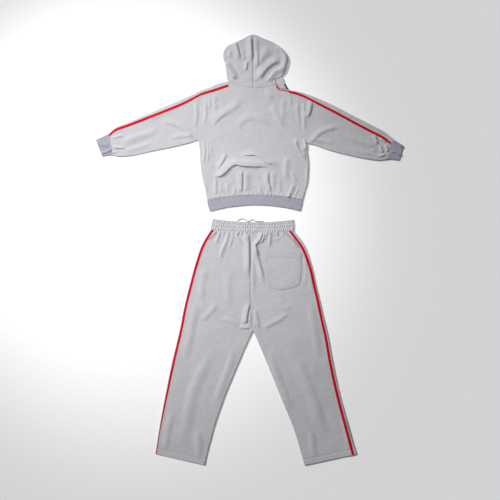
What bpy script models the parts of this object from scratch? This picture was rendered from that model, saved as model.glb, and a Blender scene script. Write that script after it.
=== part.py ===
# Hoodie and sweatpants, laid flat face down, back uppermost.
# Tables and sizes are in millimetres; points become metres as they are placed.
# X runs to the right, Y from the hems to the hood, Z up from the surface they lie on.

import math
from bisect import bisect_right

import bmesh
import bpy
from mathutils import Vector
from mathutils.bvhtree import BVHTree

MM = 0.001

# Cloth and seams
FLEECE = 2.0          # wall of the body, sleeves, hood and legs
RIB_WALL = 2.2        # wall of cuffs and hem band, at the root of a rib
BAND_WALL = 2.4       # wall of the elastic waistband, between gathers
TAPE = 0.8            # woven stripe tape
POCKET_WALL = 1.6
POCKET_CLEAR = 0.5    # between the pocket and the panel it lies on
SEAM = 0.3            # clear space between two pieces
LAY = 6.0             # height of two layers lying on each other

# Repeats
HEM_RIBS = 56
HEM_RIB_RISE = 0.9
CUFF_RIBS = 11
CUFF_RIB_RISE = 0.8
WAIST_GATHERS = 40
WAIST_GATHER_RISE = 2.6
HEM_GATHERS = 14      # short puckers of the body above the hem band

# Stripe tapes: distance of the tape from the turned edge of its cloth, and its visible width
LEFT_SLEEVE_TAPE = [
    dict(v=0.0, off=17, wide=11.5),
    dict(v=0.3, off=16, wide=11.5),
    dict(v=0.55, off=12, wide=11.5),
    dict(v=0.85, off=8, wide=11),
    dict(v=1.0, off=4, wide=10),
]
RIGHT_SLEEVE_TAPE = [
    dict(v=0.0, off=14, wide=11.5),
    dict(v=0.15, off=19, wide=11.5),
    dict(v=0.5, off=21, wide=11.5),
    dict(v=0.8, off=23, wide=11),
    dict(v=1.0, off=21, wide=10),
]
LEFT_LEG_TAPE = [
    dict(v=0.0, off=3.2, wide=3),
    dict(v=0.1, off=3.2, wide=3.4),
    dict(v=0.2, off=3.2, wide=5.5),
    dict(v=0.4, off=3.2, wide=8.5),
    dict(v=0.7, off=3.2, wide=10),
    dict(v=1.0, off=3.4, wide=11.5),
]
RIGHT_LEG_TAPE = [
    dict(v=0.0, off=11, wide=11),
    dict(v=0.2, off=7, wide=11.5),
    dict(v=0.5, off=7, wide=11),
    dict(v=0.76, off=4.2, wide=11.5),
    dict(v=0.87, off=7, wide=12),
    dict(v=0.94, off=12, wide=12),
    dict(v=1.0, off=11, wide=12),
]
# On the shoulders v is the share of the width, and the distance is below the shoulder edge
SHOULDER_TAPE = [
    dict(v=0.0, off=17, wide=11.5),
    dict(v=0.12, off=20, wide=11.5),
    dict(v=0.27, off=16, wide=11),
    dict(v=0.5, off=10, wide=9),
    dict(v=0.74, off=3.4, wide=4),
    dict(v=0.81, off=3.6, wide=6),
    dict(v=0.88, off=8, wide=11),
    dict(v=1.0, off=14, wide=11.5),
]

# Neck seam, shared by body and hood
NECK_LEFT = (-92.0, 741.0)
NECK_RIGHT = (118.0, 731.0)
NECK_DIP = 22.0
HOOD_SEAM_X = 17.5

# Armhole seams, shared by body and sleeves: low point, top point, bow
ARM_LEFT = ((-224.0, 482.0), (-210.0, 703.0), -7.0)
ARM_RIGHT = ((251.0, 467.0), (235.0, 691.0), 7.0)

# Seam between body and hem band: left end, right end, bow
BAND_SEAM = ((-186.0, 219.0), (236.0, 220.0), 22.0)
# Seam between legs and waistband
WAIST_SEAM = ((-170.0, 88.0), (196.0, 84.0), -6.0)
CROTCH_V = 0.55       # share of the leg's length where the centre seam begins

# Each body row: height share v, left x, left y, right x, right y, bow of the middle
BODY_ROWS = [
    dict(v=0.00, lx=-186, ly=219, rx=236, ry=220, bow=22),
    dict(v=0.10, lx=-194, ly=262, rx=247, ry=262, bow=20),
    dict(v=0.24, lx=-208, ly=322, rx=259, ry=320, bow=15),
    dict(v=0.40, lx=-217, ly=395, rx=262, ry=385, bow=8),
    dict(v=0.50, lx=-218, ly=439, rx=256, ry=432, bow=4),
    dict(v=0.57, lx=-224, ly=482, rx=251, ry=467, bow=2),
    dict(v=1.00, lx=-210, ly=703, rx=235, ry=691, bow=0),
]
ARMPIT_V = 0.57

# Top edge of the body beyond the armholes: x, y on each shoulder, outside in
LEFT_SHOULDER = [(-210, 703), (-166, 717), (-147, 728), (-118, 735), (-92, 741)]
RIGHT_SHOULDER = [(118, 731), (134, 707), (172, 702), (200, 699), (235, 691)]
FRONT_RIGHT_SHOULDER = [(118, 731), (141, 752), (155, 728), (178, 703), (235, 691)]

# Sleeves: share of the length, point on the underarm edge, point on the top edge
LEFT_SLEEVE = [
    dict(v=0.00, lx=-224, ly=482, tx=-210, ty=703),
    dict(v=0.14, lx=-262, ly=469, tx=-275, ty=671),
    dict(v=0.36, lx=-340, ly=450, tx=-368, ty=632),
    dict(v=0.58, lx=-424, ly=433, tx=-456, ty=594),
    dict(v=0.78, lx=-507, ly=415, tx=-531, ty=562),
    dict(v=0.92, lx=-569, ly=409, tx=-588, ty=538),
    dict(v=1.00, lx=-600, ly=415, tx=-617, ty=512),
]
RIGHT_SLEEVE = [
    dict(v=0.00, lx=251, ly=467, tx=235, ty=691),
    dict(v=0.14, lx=283, ly=461, tx=300, ty=667),
    dict(v=0.36, lx=352, ly=437, tx=378, ty=631),
    dict(v=0.58, lx=434, ly=416, tx=465, ty=586),
    dict(v=0.78, lx=514, ly=400, tx=540, ty=548),
    dict(v=0.92, lx=571, ly=393, tx=596, ty=518),
    dict(v=1.00, lx=606, ly=397, tx=628, ty=492),
]
LEFT_CUFF = [
    dict(v=0.00, lx=-600, ly=415, tx=-617, ty=512),
    dict(v=0.30, lx=-613, ly=416, tx=-636, ty=502),
    dict(v=1.00, lx=-646, ly=410, tx=-675, ty=484),
]
RIGHT_CUFF = [
    dict(v=0.00, lx=606, ly=397, tx=628, ty=492),
    dict(v=0.30, lx=619, ly=398, tx=643, ty=480),
    dict(v=1.00, lx=657, ly=394, tx=675, ty=460),
]

# Hood: left and right edge from the neck seam to the peak
HOOD_ROWS = [
    dict(v=0.00, lx=-92, ly=741, rx=118, ry=731, bow=-22),
    dict(v=0.07, lx=-98, ly=752, rx=116, ry=749, bow=-18),
    dict(v=0.17, lx=-101, ly=774, rx=143, ry=763, bow=-13),
    dict(v=0.28, lx=-104, ly=797, rx=158, ry=786, bow=-8),
    dict(v=0.42, lx=-109, ly=822, rx=163, ry=812, bow=-3),
    dict(v=0.56, lx=-115, ly=846, rx=169, ry=840, bow=0),
    dict(v=0.68, lx=-114, ly=868, rx=160, ry=864, bow=6),
    dict(v=0.80, lx=-98, ly=894, rx=136, ry=892, bow=13),
    dict(v=0.89, lx=-66, ly=910, rx=100, ry=914, bow=16),
    dict(v=0.95, lx=-36, ly=922, rx=71, ry=925, bow=13),
    dict(v=1.00, lx=-8, ly=938, rx=42, ry=938, bow=8),
]

# Legs: outer edge and inner edge, from the hem to the waist seam
LEFT_LEG = [
    dict(v=0.00, ox=-414, oy=-896, ix=-197, iy=-946),
    dict(v=0.14, ox=-391, oy=-752, ix=-158, iy=-793),
    dict(v=0.25, ox=-371, oy=-645, ix=-117, iy=-670),
    dict(v=0.38, ox=-344, oy=-511, ix=-60, iy=-529),
    dict(v=0.51, ox=-313, oy=-379, ix=2, iy=-386),
    dict(v=0.55, ox=-304, oy=-338, ix=17, iy=-357),
    dict(v=0.64, ox=-287, oy=-250),
    dict(v=0.73, ox=-265, oy=-160),
    dict(v=0.82, ox=-241, oy=-70),
    dict(v=0.91, ox=-211, oy=17),
    dict(v=1.00, ox=-170, oy=88),
]
RIGHT_LEG = [
    dict(v=0.00, ox=472, oy=-897, ix=241, iy=-946),
    dict(v=0.14, ox=430, oy=-752, ix=197, iy=-793),
    dict(v=0.25, ox=401, oy=-645, ix=147, iy=-670),
    dict(v=0.38, ox=371, oy=-511, ix=90, iy=-529),
    dict(v=0.51, ox=347, oy=-379, ix=30, iy=-386),
    dict(v=0.55, ox=337, oy=-338, ix=17, iy=-357),
    dict(v=0.64, ox=317, oy=-250),
    dict(v=0.73, ox=296, oy=-160),
    dict(v=0.82, ox=275, oy=-70),
    dict(v=0.91, ox=244, oy=17),
    dict(v=1.00, ox=196, oy=84),
]
# Centre back seam, from the crotch to the waist, shared by both legs
CENTRE_SEAM = [
    dict(v=0.55, x=17, y=-357),
    dict(v=0.64, x=8, y=-250),
    dict(v=0.73, x=6, y=-160),
    dict(v=1.00, x=6, y=80),
]
WAISTBAND_ROWS = [
    dict(v=0.0, lx=-170, ly=88, rx=196, ry=84, bow=-6),
    dict(v=0.5, lx=-167, ly=112, rx=197, ry=108, bow=-9),
    dict(v=1.0, lx=-161, ly=137, rx=194, ry=133, bow=-13),
]
HEM_BAND_ROWS = [
    dict(v=0.0, lx=-173, ly=169, rx=224, ry=171, bow=27),
    dict(v=0.5, lx=-182, ly=194, rx=232, ry=195, bow=25),
    dict(v=1.0, lx=-186, ly=219, rx=236, ry=220, bow=22),
]

# Patch pocket: side edges from the bottom to the top hem, and how far its foot drops in the middle
POCKET_ROWS = [
    dict(v=0.0, lx=82, ly=-164, rx=224, ry=-150, bow=-16),
    dict(v=0.5, lx=72, ly=-85, rx=231, ry=-86, bow=-4),
    dict(v=1.0, lx=66, ly=-6, rx=230, ry=-14, bow=0),
]

POCKET_HEM = 0.86     # share of the pocket's height where its doubled hem begins

# Front of the right shoulder, rolled over the fold so that it shows beside the hood
FRONT_SHOULDER_ROWS = [
    dict(v=0.0, rx=172, ry=706, lx=136, ly=711),
    dict(v=0.5, rx=158, ry=727, lx=130, ly=731),
    dict(v=1.0, rx=147, ry=750, lx=134, ly=747),
]

# Drawstring: two loops that stand out above the waistband on the surface
CORD_RADIUS = 1.9
CORD_STEPS = 36
CORD_ROUTE = [
    (-52, 127), (-46, 131.5), (-38, 135.5), (-29, 136.5), (-20, 133.5), (-12, 128), (-4, 125.4),
    (4, 128.5), (11, 131.6), (18, 131.4), (25, 128), (33, 125.1), (43, 124.6), (53, 124.7), (62, 124.9),
]

# Folds: route over the cloth, height, reach of the slope to the left and right of the route
HOODIE_FOLDS = [
    dict(at=[(-158, 320), (-122, 334), (-80, 368), (-34, 381), (30, 374), (100, 364)],
         h=8, left=26, right=11),
    dict(at=[(-45, 410), (27, 418), (90, 386), (135, 375)], h=5, left=22, right=11),
    dict(at=[(-96, 430), (-138, 350)], h=4, left=18, right=14),
    dict(at=[(-151, 308), (-150, 232)], h=4, left=13, right=12),
    dict(at=[(-28, 352), (-26, 246)], h=6, left=15, right=11),
    dict(at=[(90, 350), (91, 246)], h=4.5, left=14, right=12),
    dict(at=[(-64, 312), (-66, 244)], h=2.5, left=13, right=13),
    dict(at=[(48, 312), (47, 246)], h=2.5, left=13, right=13),
    dict(at=[(196, 288), (174, 228)], h=4, left=12, right=14),
    dict(at=[(38, 706), (84, 655), (180, 530)], h=3.5, left=26, right=22),
    dict(at=[(-6, 706), (-50, 650), (-154, 530)], h=3.5, left=22, right=26),
    dict(at=[(-62, 548), (18, 582), (100, 550)], h=2.5, left=22, right=18),
    dict(at=[(262, 655), (254, 592), (262, 530)], h=3, left=14, right=16),
    dict(at=[(-240, 660), (-232, 590), (-244, 530)], h=3, left=16, right=14),
    dict(at=[(-236, 476), (-300, 540), (-380, 570)], h=4, left=20, right=24),
    dict(at=[(262, 462), (320, 520), (400, 540)], h=4, left=24, right=20),
    dict(at=[(-400, 520), (-500, 492), (-560, 470)], h=3, left=26, right=26),
    dict(at=[(420, 505), (500, 470), (560, 450)], h=3, left=26, right=26),
    dict(at=[(-602, 452), (-552, 447)], h=3.5, left=13, right=12),
    dict(at=[(-606, 486), (-560, 500)], h=3, left=12, right=12),
    dict(at=[(558, 484), (600, 440)], h=4, left=13, right=12),
    dict(at=[(575, 505), (612, 462)], h=3.5, left=12, right=12),
    dict(at=[(548, 432), (596, 416)], h=3, left=12, right=12),
]
HOOD_FOLDS = [
    dict(at=[(4, 934), (4, 860), (10, 826)], h=4.5, left=15, right=11),
    dict(at=[(32, 932), (31, 862), (34, 800)], h=4, left=11, right=14),
    dict(at=[(-54, 908), (-40, 856), (-33, 832)], h=6, left=15, right=12),
    dict(at=[(-8, 828), (-17, 782)], h=3.5, left=13, right=12),
    dict(at=[(74, 880), (46, 824)], h=3.5, left=14, right=20),
    dict(at=[(140, 812), (96, 792), (57, 742)], h=8, left=11, right=22),
    dict(at=[(-103, 814), (-83, 788), (-57, 744)], h=6, left=20, right=12),
    dict(at=[(-20, 770), (18, 744), (50, 752)], h=3, left=16, right=14),
]
PANTS_FOLDS = [
    dict(at=[(19, 40), (18, -60), (14, -120)], h=4, left=11, right=16),
    dict(at=[(4, -240), (-16, -334)], h=5, left=13, right=15),
    dict(at=[(-42, -338), (4, -344)], h=4, left=14, right=12),
    dict(at=[(56, -340), (118, -312), (180, -272)], h=4, left=22, right=20),
    dict(at=[(-36, -340), (-80, -322), (-124, -298)], h=4, left=20, right=22),
    dict(at=[(50, 80), (42, 20), (49, -40), (53, -110)], h=4, left=12, right=13),
    dict(at=[(98, 80), (92, 14)], h=4, left=12, right=12),
    dict(at=[(128, 80), (124, 34)], h=3.5, left=11, right=11),
    dict(at=[(-52, 80), (-56, 50), (-18, 12)], h=3.5, left=12, right=12),
    dict(at=[(-128, 78), (-150, 28)], h=3.5, left=12, right=12),
    dict(at=[(-92, 78), (-112, -26)], h=3.5, left=13, right=12),
    dict(at=[(-20, 78), (-22, 20)], h=3, left=11, right=11),
    dict(at=[(158, 76), (190, 46), (222, 8)], h=2.5, left=10, right=10),
    dict(at=[(-142, 78), (-180, 44)], h=2.5, left=10, right=10),
    dict(at=[(-150, -420), (-240, -600), (-300, -860)], h=3.5, left=34, right=30),
    dict(at=[(170, -420), (268, -620), (340, -860)], h=3.5, left=30, right=34),
    dict(at=[(-230, -230), (-262, -380)], h=3, left=24, right=26),
    dict(at=[(262, -240), (292, -390)], h=3, left=26, right=24),
]

# Base colour and roughness of each finish
FINISHES = dict(
    fleece=((0.52, 0.52, 0.54), 0.92),
    rib=((0.40, 0.43, 0.50), 0.9),
    red=((0.75, 0.01, 0.03), 0.7),
    navy=((0.01, 0.05, 0.14), 0.7),
    cord=((0.80, 0.80, 0.82), 0.8),
)


def smooth(t):
    """0 to 1 with level ends."""
    t = min(max(t, 0.0), 1.0)
    return t * t * (3 - 2 * t)


def curve_value(xs, ys, x):
    """A smooth curve through the points xs, ys, with the slope of its neighbours at each."""
    x = min(max(x, xs[0]), xs[-1])
    k = min(max(bisect_right(xs, x) - 1, 0), len(xs) - 2)
    last = len(xs) - 1

    def slope(i):
        a, b = max(i - 1, 0), min(i + 1, last)
        return (ys[b] - ys[a]) / (xs[b] - xs[a])

    h = xs[k + 1] - xs[k]
    t = (x - xs[k]) / h
    return ((2 * t**3 - 3 * t**2 + 1) * ys[k] + (t**3 - 2 * t**2 + t) * h * slope(k)
            + (3 * t**2 - 2 * t**3) * ys[k + 1] + (t**3 - t**2) * h * slope(k + 1))


def table_value(rows, column, v):
    return curve_value([row["v"] for row in rows], [row[column] for row in rows], v)


def along(points, t):
    """The point at share t of a chain of points, by length."""
    lengths = [math.dist(a, b) for a, b in zip(points, points[1:])]
    left = min(max(t, 0.0), 1.0) * sum(lengths)
    for a, b, length in zip(points, points[1:], lengths):
        if left <= length:
            return Vector(a).lerp(Vector(b), left / length)
        left -= length
    return Vector(points[-1])


def fold_rise(fold, x, y):
    """How far one fold lifts the cloth at x, y."""
    here, best, done = Vector((x, y)), None, 0.0
    points = [Vector(p) for p in fold["at"]]
    total = sum((b - a).length for a, b in zip(points, points[1:]))
    for a, b in zip(points, points[1:]):
        run = b - a
        t = min(max((here - a).dot(run) / run.length_squared, 0.0), 1.0)
        away = here - (a + run * t)
        if best is None or away.length < best[0]:
            side = "left" if run.x * away.y - run.y * away.x > 0 else "right"
            best = (away.length, side, (done + t * run.length) / total)
        done += run.length
    distance, side, share = best
    reach = distance / fold[side]
    if reach >= 1:
        return 0.0
    ends = smooth(min(share, 1 - share) / 0.3) * 0.75 + 0.25
    return fold["h"] * ends * (0.5 + 0.5 * math.cos(math.pi * reach))


def hem_puckers(x, y):
    """The body puckers where the hem band draws it in."""
    (lx, ly), (rx, ry), bow = BAND_SEAM
    s = (x - lx) / (rx - lx)
    if not 0 < s < 1:
        return 0.0
    above = y - (ly + (ry - ly) * s + 4 * bow * s * (1 - s))
    uneven = 0.65 + 0.35 * math.sin(9.1 * s + 1.0)
    wave = 0.5 + 0.5 * math.cos(2 * math.pi * HEM_GATHERS * (s + 0.012 * math.sin(17 * s)))
    return 2.6 * uneven * wave * (1 - smooth(above / 34)) * smooth(min(s, 1 - s) / 0.06)


def hoodie_height(x, y):
    return LAY + sum(fold_rise(fold, x, y) for fold in HOODIE_FOLDS) + hem_puckers(x, y)


def hood_height(x, y):
    return LAY + sum(fold_rise(fold, x, y) for fold in HOOD_FOLDS)


def pants_height(x, y):
    return LAY + sum(fold_rise(fold, x, y) for fold in PANTS_FOLDS)


# A section runs across the cloth from edge a to edge b. A station is a place on it: the side
# (1 on top, -1 underneath), what it is measured from, and how far. "a turn" and "b turn" are
# angles round a turned edge, "a mm" is a distance from edge a, "flat" a share of the width.
TURN = (0, 42, 90)


def turned(side, edge, start=0):
    """Stations from the fold line of an edge inwards."""
    return [(side, edge + " turn", angle) for angle in TURN[start:]]


def flat(side, start, stop, count):
    """Stations over the flat between two shares of the width, both ends left out."""
    step = (stop - start) / count
    return [(side, "flat", start + step * k) for k in range(1, count)]


def top_face(count):
    """The upper layer from edge a to edge b."""
    return turned(1, "a") + flat(1, 0.0, 1.0, count) + turned(1, "b")[::-1]


def under_face(count):
    """The lower layer from edge a to edge b."""
    return turned(-1, "a") + flat(-1, 0.0, 1.0, count) + turned(-1, "b")[::-1]


def all_round(count, under_count):
    """One piece folded round, its two edges sewn to each other on edge a."""
    below = turned(-1, "b", 1) + flat(-1, 1.0, 0.0, under_count) + turned(-1, "a")[::-1]
    return top_face(count) + below


def shares(count, *extra, start=0.0, stop=1.0):
    """Even rows from start to stop, with any extra ones in order."""
    even = {round(start + (stop - start) * k / count, 5) for k in range(count + 1)}
    return [("share", v) for v in sorted(even | set(extra))]


TURNED_END = [("end turn", angle) for angle in reversed(TURN)]


class Cloth:
    """A length of flattened cloth: where it lies, how high, and how its edges end."""

    def __init__(self, edge_a, edge_b, lay, length, height, wall, relief=None,
                 sewn_a=None, sewn_b=None, sewn_end=None):
        self.edge_a, self.edge_b, self.lay = edge_a, edge_b, lay
        self.length, self.height, self.wall = length, height, wall
        self.relief = relief or (lambda share, v: 0.0)
        self.sewn_a = sewn_a or (lambda v: 0.0)
        self.sewn_b = sewn_b or (lambda v: 0.0)
        self.sewn_end = sewn_end or (lambda s: 0.0)

    def across(self, station, v, off):
        """Distance from edge a in mm, and the share of the full height there."""
        width = (self.edge_b(v) - self.edge_a(v)).length
        radius = LAY / 2
        kind, value = station[1:3]
        nudge = station[3] if len(station) > 3 else 0.0
        level = 1.0
        if kind == "flat":
            q = radius + (width - 2 * radius) * value
        elif kind == "a mm":
            q = value(v) if callable(value) else value
        else:
            sewn = self.sewn_a(v) if kind[0] == "a" else self.sewn_b(v)
            angle = math.radians(value)
            q = radius - (radius + off * (1 - sewn)) * math.cos(angle) + sewn * SEAM / 2
            level = math.sin(angle) * (1 - sewn) + sewn
            if kind[0] == "b":
                q = width - q
        return (q + nudge) / width, level

    def row_share(self, row, s, off):
        """Length share and height share of a row where it crosses share s of the width."""
        kind, value = row
        clear = SEAM / 2 / self.length
        if kind == "share":
            return min(max(value, clear), 1 - clear), 1.0
        if kind == "end mm":
            return 1 - value(s) / self.length, 1.0
        radius, sewn, turn = LAY / 2, self.sewn_end(s), math.radians(value)
        back = radius - (radius + off * (1 - sewn)) * math.cos(turn) + sewn * SEAM / 2
        return 1 - back / self.length, math.sin(turn) * (1 - sewn) + sewn

    def point(self, station, row, off, outer):
        """The point of a station and row, moved out from the cloth's outer face by off."""
        near = row[1] if row[0] == "share" else 1.0
        v, end_level = self.row_share(row, self.across(station, near, off)[0], off)
        s, level = self.across(station, v, off)
        level *= end_level
        x, y = self.lay(s, v)
        side, middle = station[0], LAY / 2
        rise = middle + off
        if side > 0:
            rise = self.height(x, y) - middle + off
            rise += self.relief(station[2], v) if outer and station[1] == "flat" else 0.0
        z = middle + side * (SEAM / 2 + (rise - SEAM / 2) * level)
        return Vector((x, y, z)) * MM


def solid(name, cloth, stations, rows, finish, low=None, high=0.0):
    """A closed wall over a grid of stations and rows, from offset low to offset high."""
    low = -cloth.wall if low is None else low
    columns, count = len(stations), len(rows)
    bm = bmesh.new()
    bmesh.ops.create_grid(bm, x_segments=columns - 1, y_segments=count - 1, size=1.0)
    for vert in bm.verts:
        vert.co.x = round((vert.co.x + 1) / 2 * (columns - 1))
        vert.co.y = round((vert.co.y + 1) / 2 * (count - 1))
    raised = bmesh.ops.extrude_face_region(bm, geom=bm.faces[:])
    inside = {v for v in raised["geom"] if isinstance(v, bmesh.types.BMVert)}
    for vert in bm.verts:
        station, row = stations[round(vert.co.x)], rows[round(vert.co.y)]
        is_inner = vert in inside
        vert.co = cloth.point(station, row, low if is_inner else high, not is_inner)
    bmesh.ops.recalc_face_normals(bm, faces=bm.faces[:])
    if bm.calc_volume(signed=True) < 0:
        bmesh.ops.reverse_faces(bm, faces=bm.faces[:])
    mesh = bpy.data.meshes.new(name)
    bm.to_mesh(mesh)
    bm.free()
    mesh.shade_smooth()
    mesh.set_sharp_from_angle(angle=math.radians(50))
    mesh.materials.append(material(finish))
    made = bpy.data.objects.new(name, mesh)
    bpy.context.collection.objects.link(made)
    return made


def material(finish):
    """The finish's material, made once."""
    if finish in bpy.data.materials:
        return bpy.data.materials[finish]
    made = bpy.data.materials.new(finish)
    made.use_nodes = True
    colour, roughness = FINISHES[finish]
    shader = made.node_tree.nodes["Principled BSDF"]
    shader.inputs["Base Color"].default_value = (*colour, 1.0)
    shader.inputs["Roughness"].default_value = roughness
    shader.inputs["Metallic"].default_value = 0.0
    return made


def rail(rows, x, y):
    """A smooth edge through two columns of a table."""
    return lambda v: Vector((table_value(rows, x, v), table_value(rows, y, v)))


def seam_point(low, top, bow, t):
    """A point on a seam that bows sideways from the line between its ends."""
    low, top = Vector(low), Vector(top)
    run = (top - low).normalized()
    return low.lerp(top, t) + Vector((run.y, -run.x)) * 4 * bow * t * (1 - t)


def bowed(edge_a, edge_b, rows):
    """Rows straight from edge a to edge b, lifted in the middle by the table's bow."""
    def lay(s, v):
        x, y = edge_a(v).lerp(edge_b(v), s)
        return x, y + 4 * table_value(rows, "bow", v) * s * (1 - s)
    return lay


def neck_point(t):
    """A point on the neck seam, its middle dipped and drawn to the hood's centre seam."""
    left, right = Vector(NECK_LEFT), Vector(NECK_RIGHT)
    middle = 4 * t * (1 - t)
    return left.lerp(right, t) + Vector((HOOD_SEAM_X - (left.x + right.x) / 2, -NECK_DIP)) * middle


def body_panel(right_shoulder):
    """Lay of a body panel, its top edge following the shoulders and the neck seam."""
    def edge(x, y, arm):
        below = rail(BODY_ROWS, x, y)

        def at(v):
            if v <= ARMPIT_V:
                return below(v)
            return seam_point(*arm, (v - ARMPIT_V) / (1 - ARMPIT_V))
        return at

    edge_a, edge_b = edge("lx", "ly", ARM_LEFT), edge("rx", "ry", ARM_RIGHT)
    end_a, end_b = edge_a(1.0), edge_b(1.0)

    def top(s):
        if s < NECK_START:
            return along(LEFT_SHOULDER, s / NECK_START)
        if s > NECK_STOP:
            return along(right_shoulder, (s - NECK_STOP) / (1 - NECK_STOP))
        return neck_point((s - NECK_START) / (NECK_STOP - NECK_START))

    def lay(s, v):
        line = edge_a(v).lerp(edge_b(v), s)
        line.y += 4 * table_value(BODY_ROWS, "bow", v) * s * (1 - s)
        share = smooth((v - 0.52) / 0.48)
        return line + (top(s) - end_a.lerp(end_b, s)) * share

    def sewn_side(v):
        return 1.0 if v > ARMPIT_V + 0.001 else 0.0

    def sewn_neck(s):
        return 1.0 if NECK_START - 0.002 <= s <= NECK_STOP + 0.002 else 0.0

    return dict(edge_a=edge_a, edge_b=edge_b, lay=lay, length=514.0, height=hoodie_height,
                wall=FLEECE, sewn_a=sewn_side, sewn_b=sewn_side, sewn_end=sewn_neck)


NECK_START = (NECK_LEFT[0] - ARM_LEFT[1][0]) / (ARM_RIGHT[1][0] - ARM_LEFT[1][0])
NECK_STOP = (NECK_RIGHT[0] - ARM_LEFT[1][0]) / (ARM_RIGHT[1][0] - ARM_LEFT[1][0])


def tape_row(share_of_width):
    """A row along the shoulder tape: 0 on its far side from the edge, 1 on its near side."""
    def back(s):
        off = table_value(SHOULDER_TAPE, "off", s)
        return off + (1 - share_of_width) * table_value(SHOULDER_TAPE, "wide", s)
    return ("end mm", back)


def make_body():
    back = Cloth(**body_panel(RIGHT_SHOULDER))
    neck = [(1, "flat", NECK_START), (1, "flat", NECK_STOP)]
    over = sorted(flat(1, 0.0, 1.0, 2 * HEM_GATHERS) + neck, key=lambda p: p[2])
    stations = turned(1, "a") + over + turned(1, "b")[::-1]
    tape = [tape_row(0), tape_row(1)]
    rows = shares(17, ARMPIT_V, ARMPIT_V + 0.008, stop=0.9) + tape + TURNED_END
    solid("hoodie_back", back, stations, rows, "fleece")
    first, last = stations.index(neck[0]), stations.index(neck[1])
    solid("stripe_shoulder_left", back, stations[:first + 1], tape, "red", SEAM, SEAM + TAPE)
    solid("stripe_shoulder_right", back, stations[last:], tape, "red", SEAM, SEAM + TAPE)
    front = Cloth(**body_panel(FRONT_RIGHT_SHOULDER))
    stations = (turned(-1, "a") + flat(-1, 0.0, NECK_START, 4) + [(-1, "flat", NECK_START)]
                + flat(-1, NECK_START, NECK_STOP, 11) + [(-1, "flat", NECK_STOP)]
                + flat(-1, NECK_STOP, 1.0, 8) + turned(-1, "b")[::-1])
    rows = shares(8, ARMPIT_V, ARMPIT_V + 0.008, 0.96, stop=0.9) + TURNED_END
    solid("hoodie_front", front, stations, rows, "fleece")


def make_front_shoulder():
    edge_a, edge_b = rail(FRONT_SHOULDER_ROWS, "rx", "ry"), rail(FRONT_SHOULDER_ROWS, "lx", "ly")
    cloth = Cloth(edge_a, edge_b, lambda s, v: edge_a(v).lerp(edge_b(v), s), 42.0,
                  lambda x, y: LAY, FLEECE)
    tape = [(1, "a mm", 3.2), (1, "a mm", 8.6)]
    stations = turned(1, "a") + tape + turned(1, "b")[::-1]
    rows = shares(3, stop=0.72)
    solid("front_shoulder_right", cloth, stations, rows + TURNED_END, "fleece")
    solid("stripe_front_right", cloth, tape, rows, "navy", SEAM, SEAM + TAPE)


def sleeve_cloth(rows, arm=None, wall=FLEECE, relief=None, length=420.0):
    """A sleeve or cuff: edge a under the arm, edge b on top."""
    edge_a, edge_b = rail(rows, "lx", "ly"), rail(rows, "tx", "ty")

    def lay(s, v):
        point = edge_a(v).lerp(edge_b(v), s)
        if arm:
            straight = Vector(arm[0]).lerp(Vector(arm[1]), s)
            point += (seam_point(*arm, s) - straight) * (1 - smooth(v / 0.3))
        return point
    return Cloth(edge_a, edge_b, lay, length, hoodie_height, wall, relief)


def ribs(count, rise):
    """Ribs along the cloth, raised in its outer points."""
    return lambda share, v: rise * (0.5 - 0.5 * math.cos(2 * math.pi * count * share))


def tape_stations(cloth, table, edge):
    """The two sides of a stripe tape, measured in mm from edge a or edge b."""
    def near(v):
        return table_value(table, "off", v)

    def far(v):
        return near(v) + table_value(table, "wide", v)
    if edge == "a":
        return [(1, "a mm", near), (1, "a mm", far)]
    width = lambda v: (cloth.edge_b(v) - cloth.edge_a(v)).length
    return [(1, "a mm", lambda v: width(v) - far(v)), (1, "a mm", lambda v: width(v) - near(v))]


def halfway(cloth, share, place):
    """Halfway between a share of the width and a place in mm from edge a."""
    return lambda v: (share * (cloth.edge_b(v) - cloth.edge_a(v)).length + place(v)) / 2


def make_sleeves():
    for side, rows, cuff_rows, arm, table in (
            ("left", LEFT_SLEEVE, LEFT_CUFF, ARM_LEFT, LEFT_SLEEVE_TAPE),
            ("right", RIGHT_SLEEVE, RIGHT_CUFF, ARM_RIGHT, RIGHT_SLEEVE_TAPE)):
        cloth = sleeve_cloth(rows, arm)
        tape = tape_stations(cloth, table, "b")
        last = flat(1, 0.0, 0.74, 9)[-1]
        beside = (1, "a mm", halfway(cloth, last[2], tape[0][2]))
        top = turned(1, "a") + flat(1, 0.0, 0.74, 9) + [beside] + tape + turned(1, "b")[::-1]
        below = turned(-1, "b", 1) + flat(-1, 1.0, 0.0, 5) + turned(-1, "a")[::-1]
        even = shares(14)
        solid("sleeve_" + side, cloth, top + below, even, "fleece")
        solid("stripe_sleeve_" + side, cloth, tape, even, "red", SEAM, SEAM + TAPE)
        cuff = sleeve_cloth(cuff_rows, wall=RIB_WALL, relief=ribs(CUFF_RIBS, CUFF_RIB_RISE), length=66.0)
        solid("cuff_" + side, cuff, all_round(2 * CUFF_RIBS, 4), shares(3), "rib")


def make_hem_band():
    edge_a, edge_b = rail(HEM_BAND_ROWS, "lx", "ly"), rail(HEM_BAND_ROWS, "rx", "ry")
    cloth = Cloth(edge_a, edge_b, bowed(edge_a, edge_b, HEM_BAND_ROWS), 48.0,
                  lambda x, y: LAY, RIB_WALL, ribs(HEM_RIBS, HEM_RIB_RISE))
    solid("hem_band", cloth, all_round(2 * HEM_RIBS, 10), shares(2), "rib")


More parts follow.
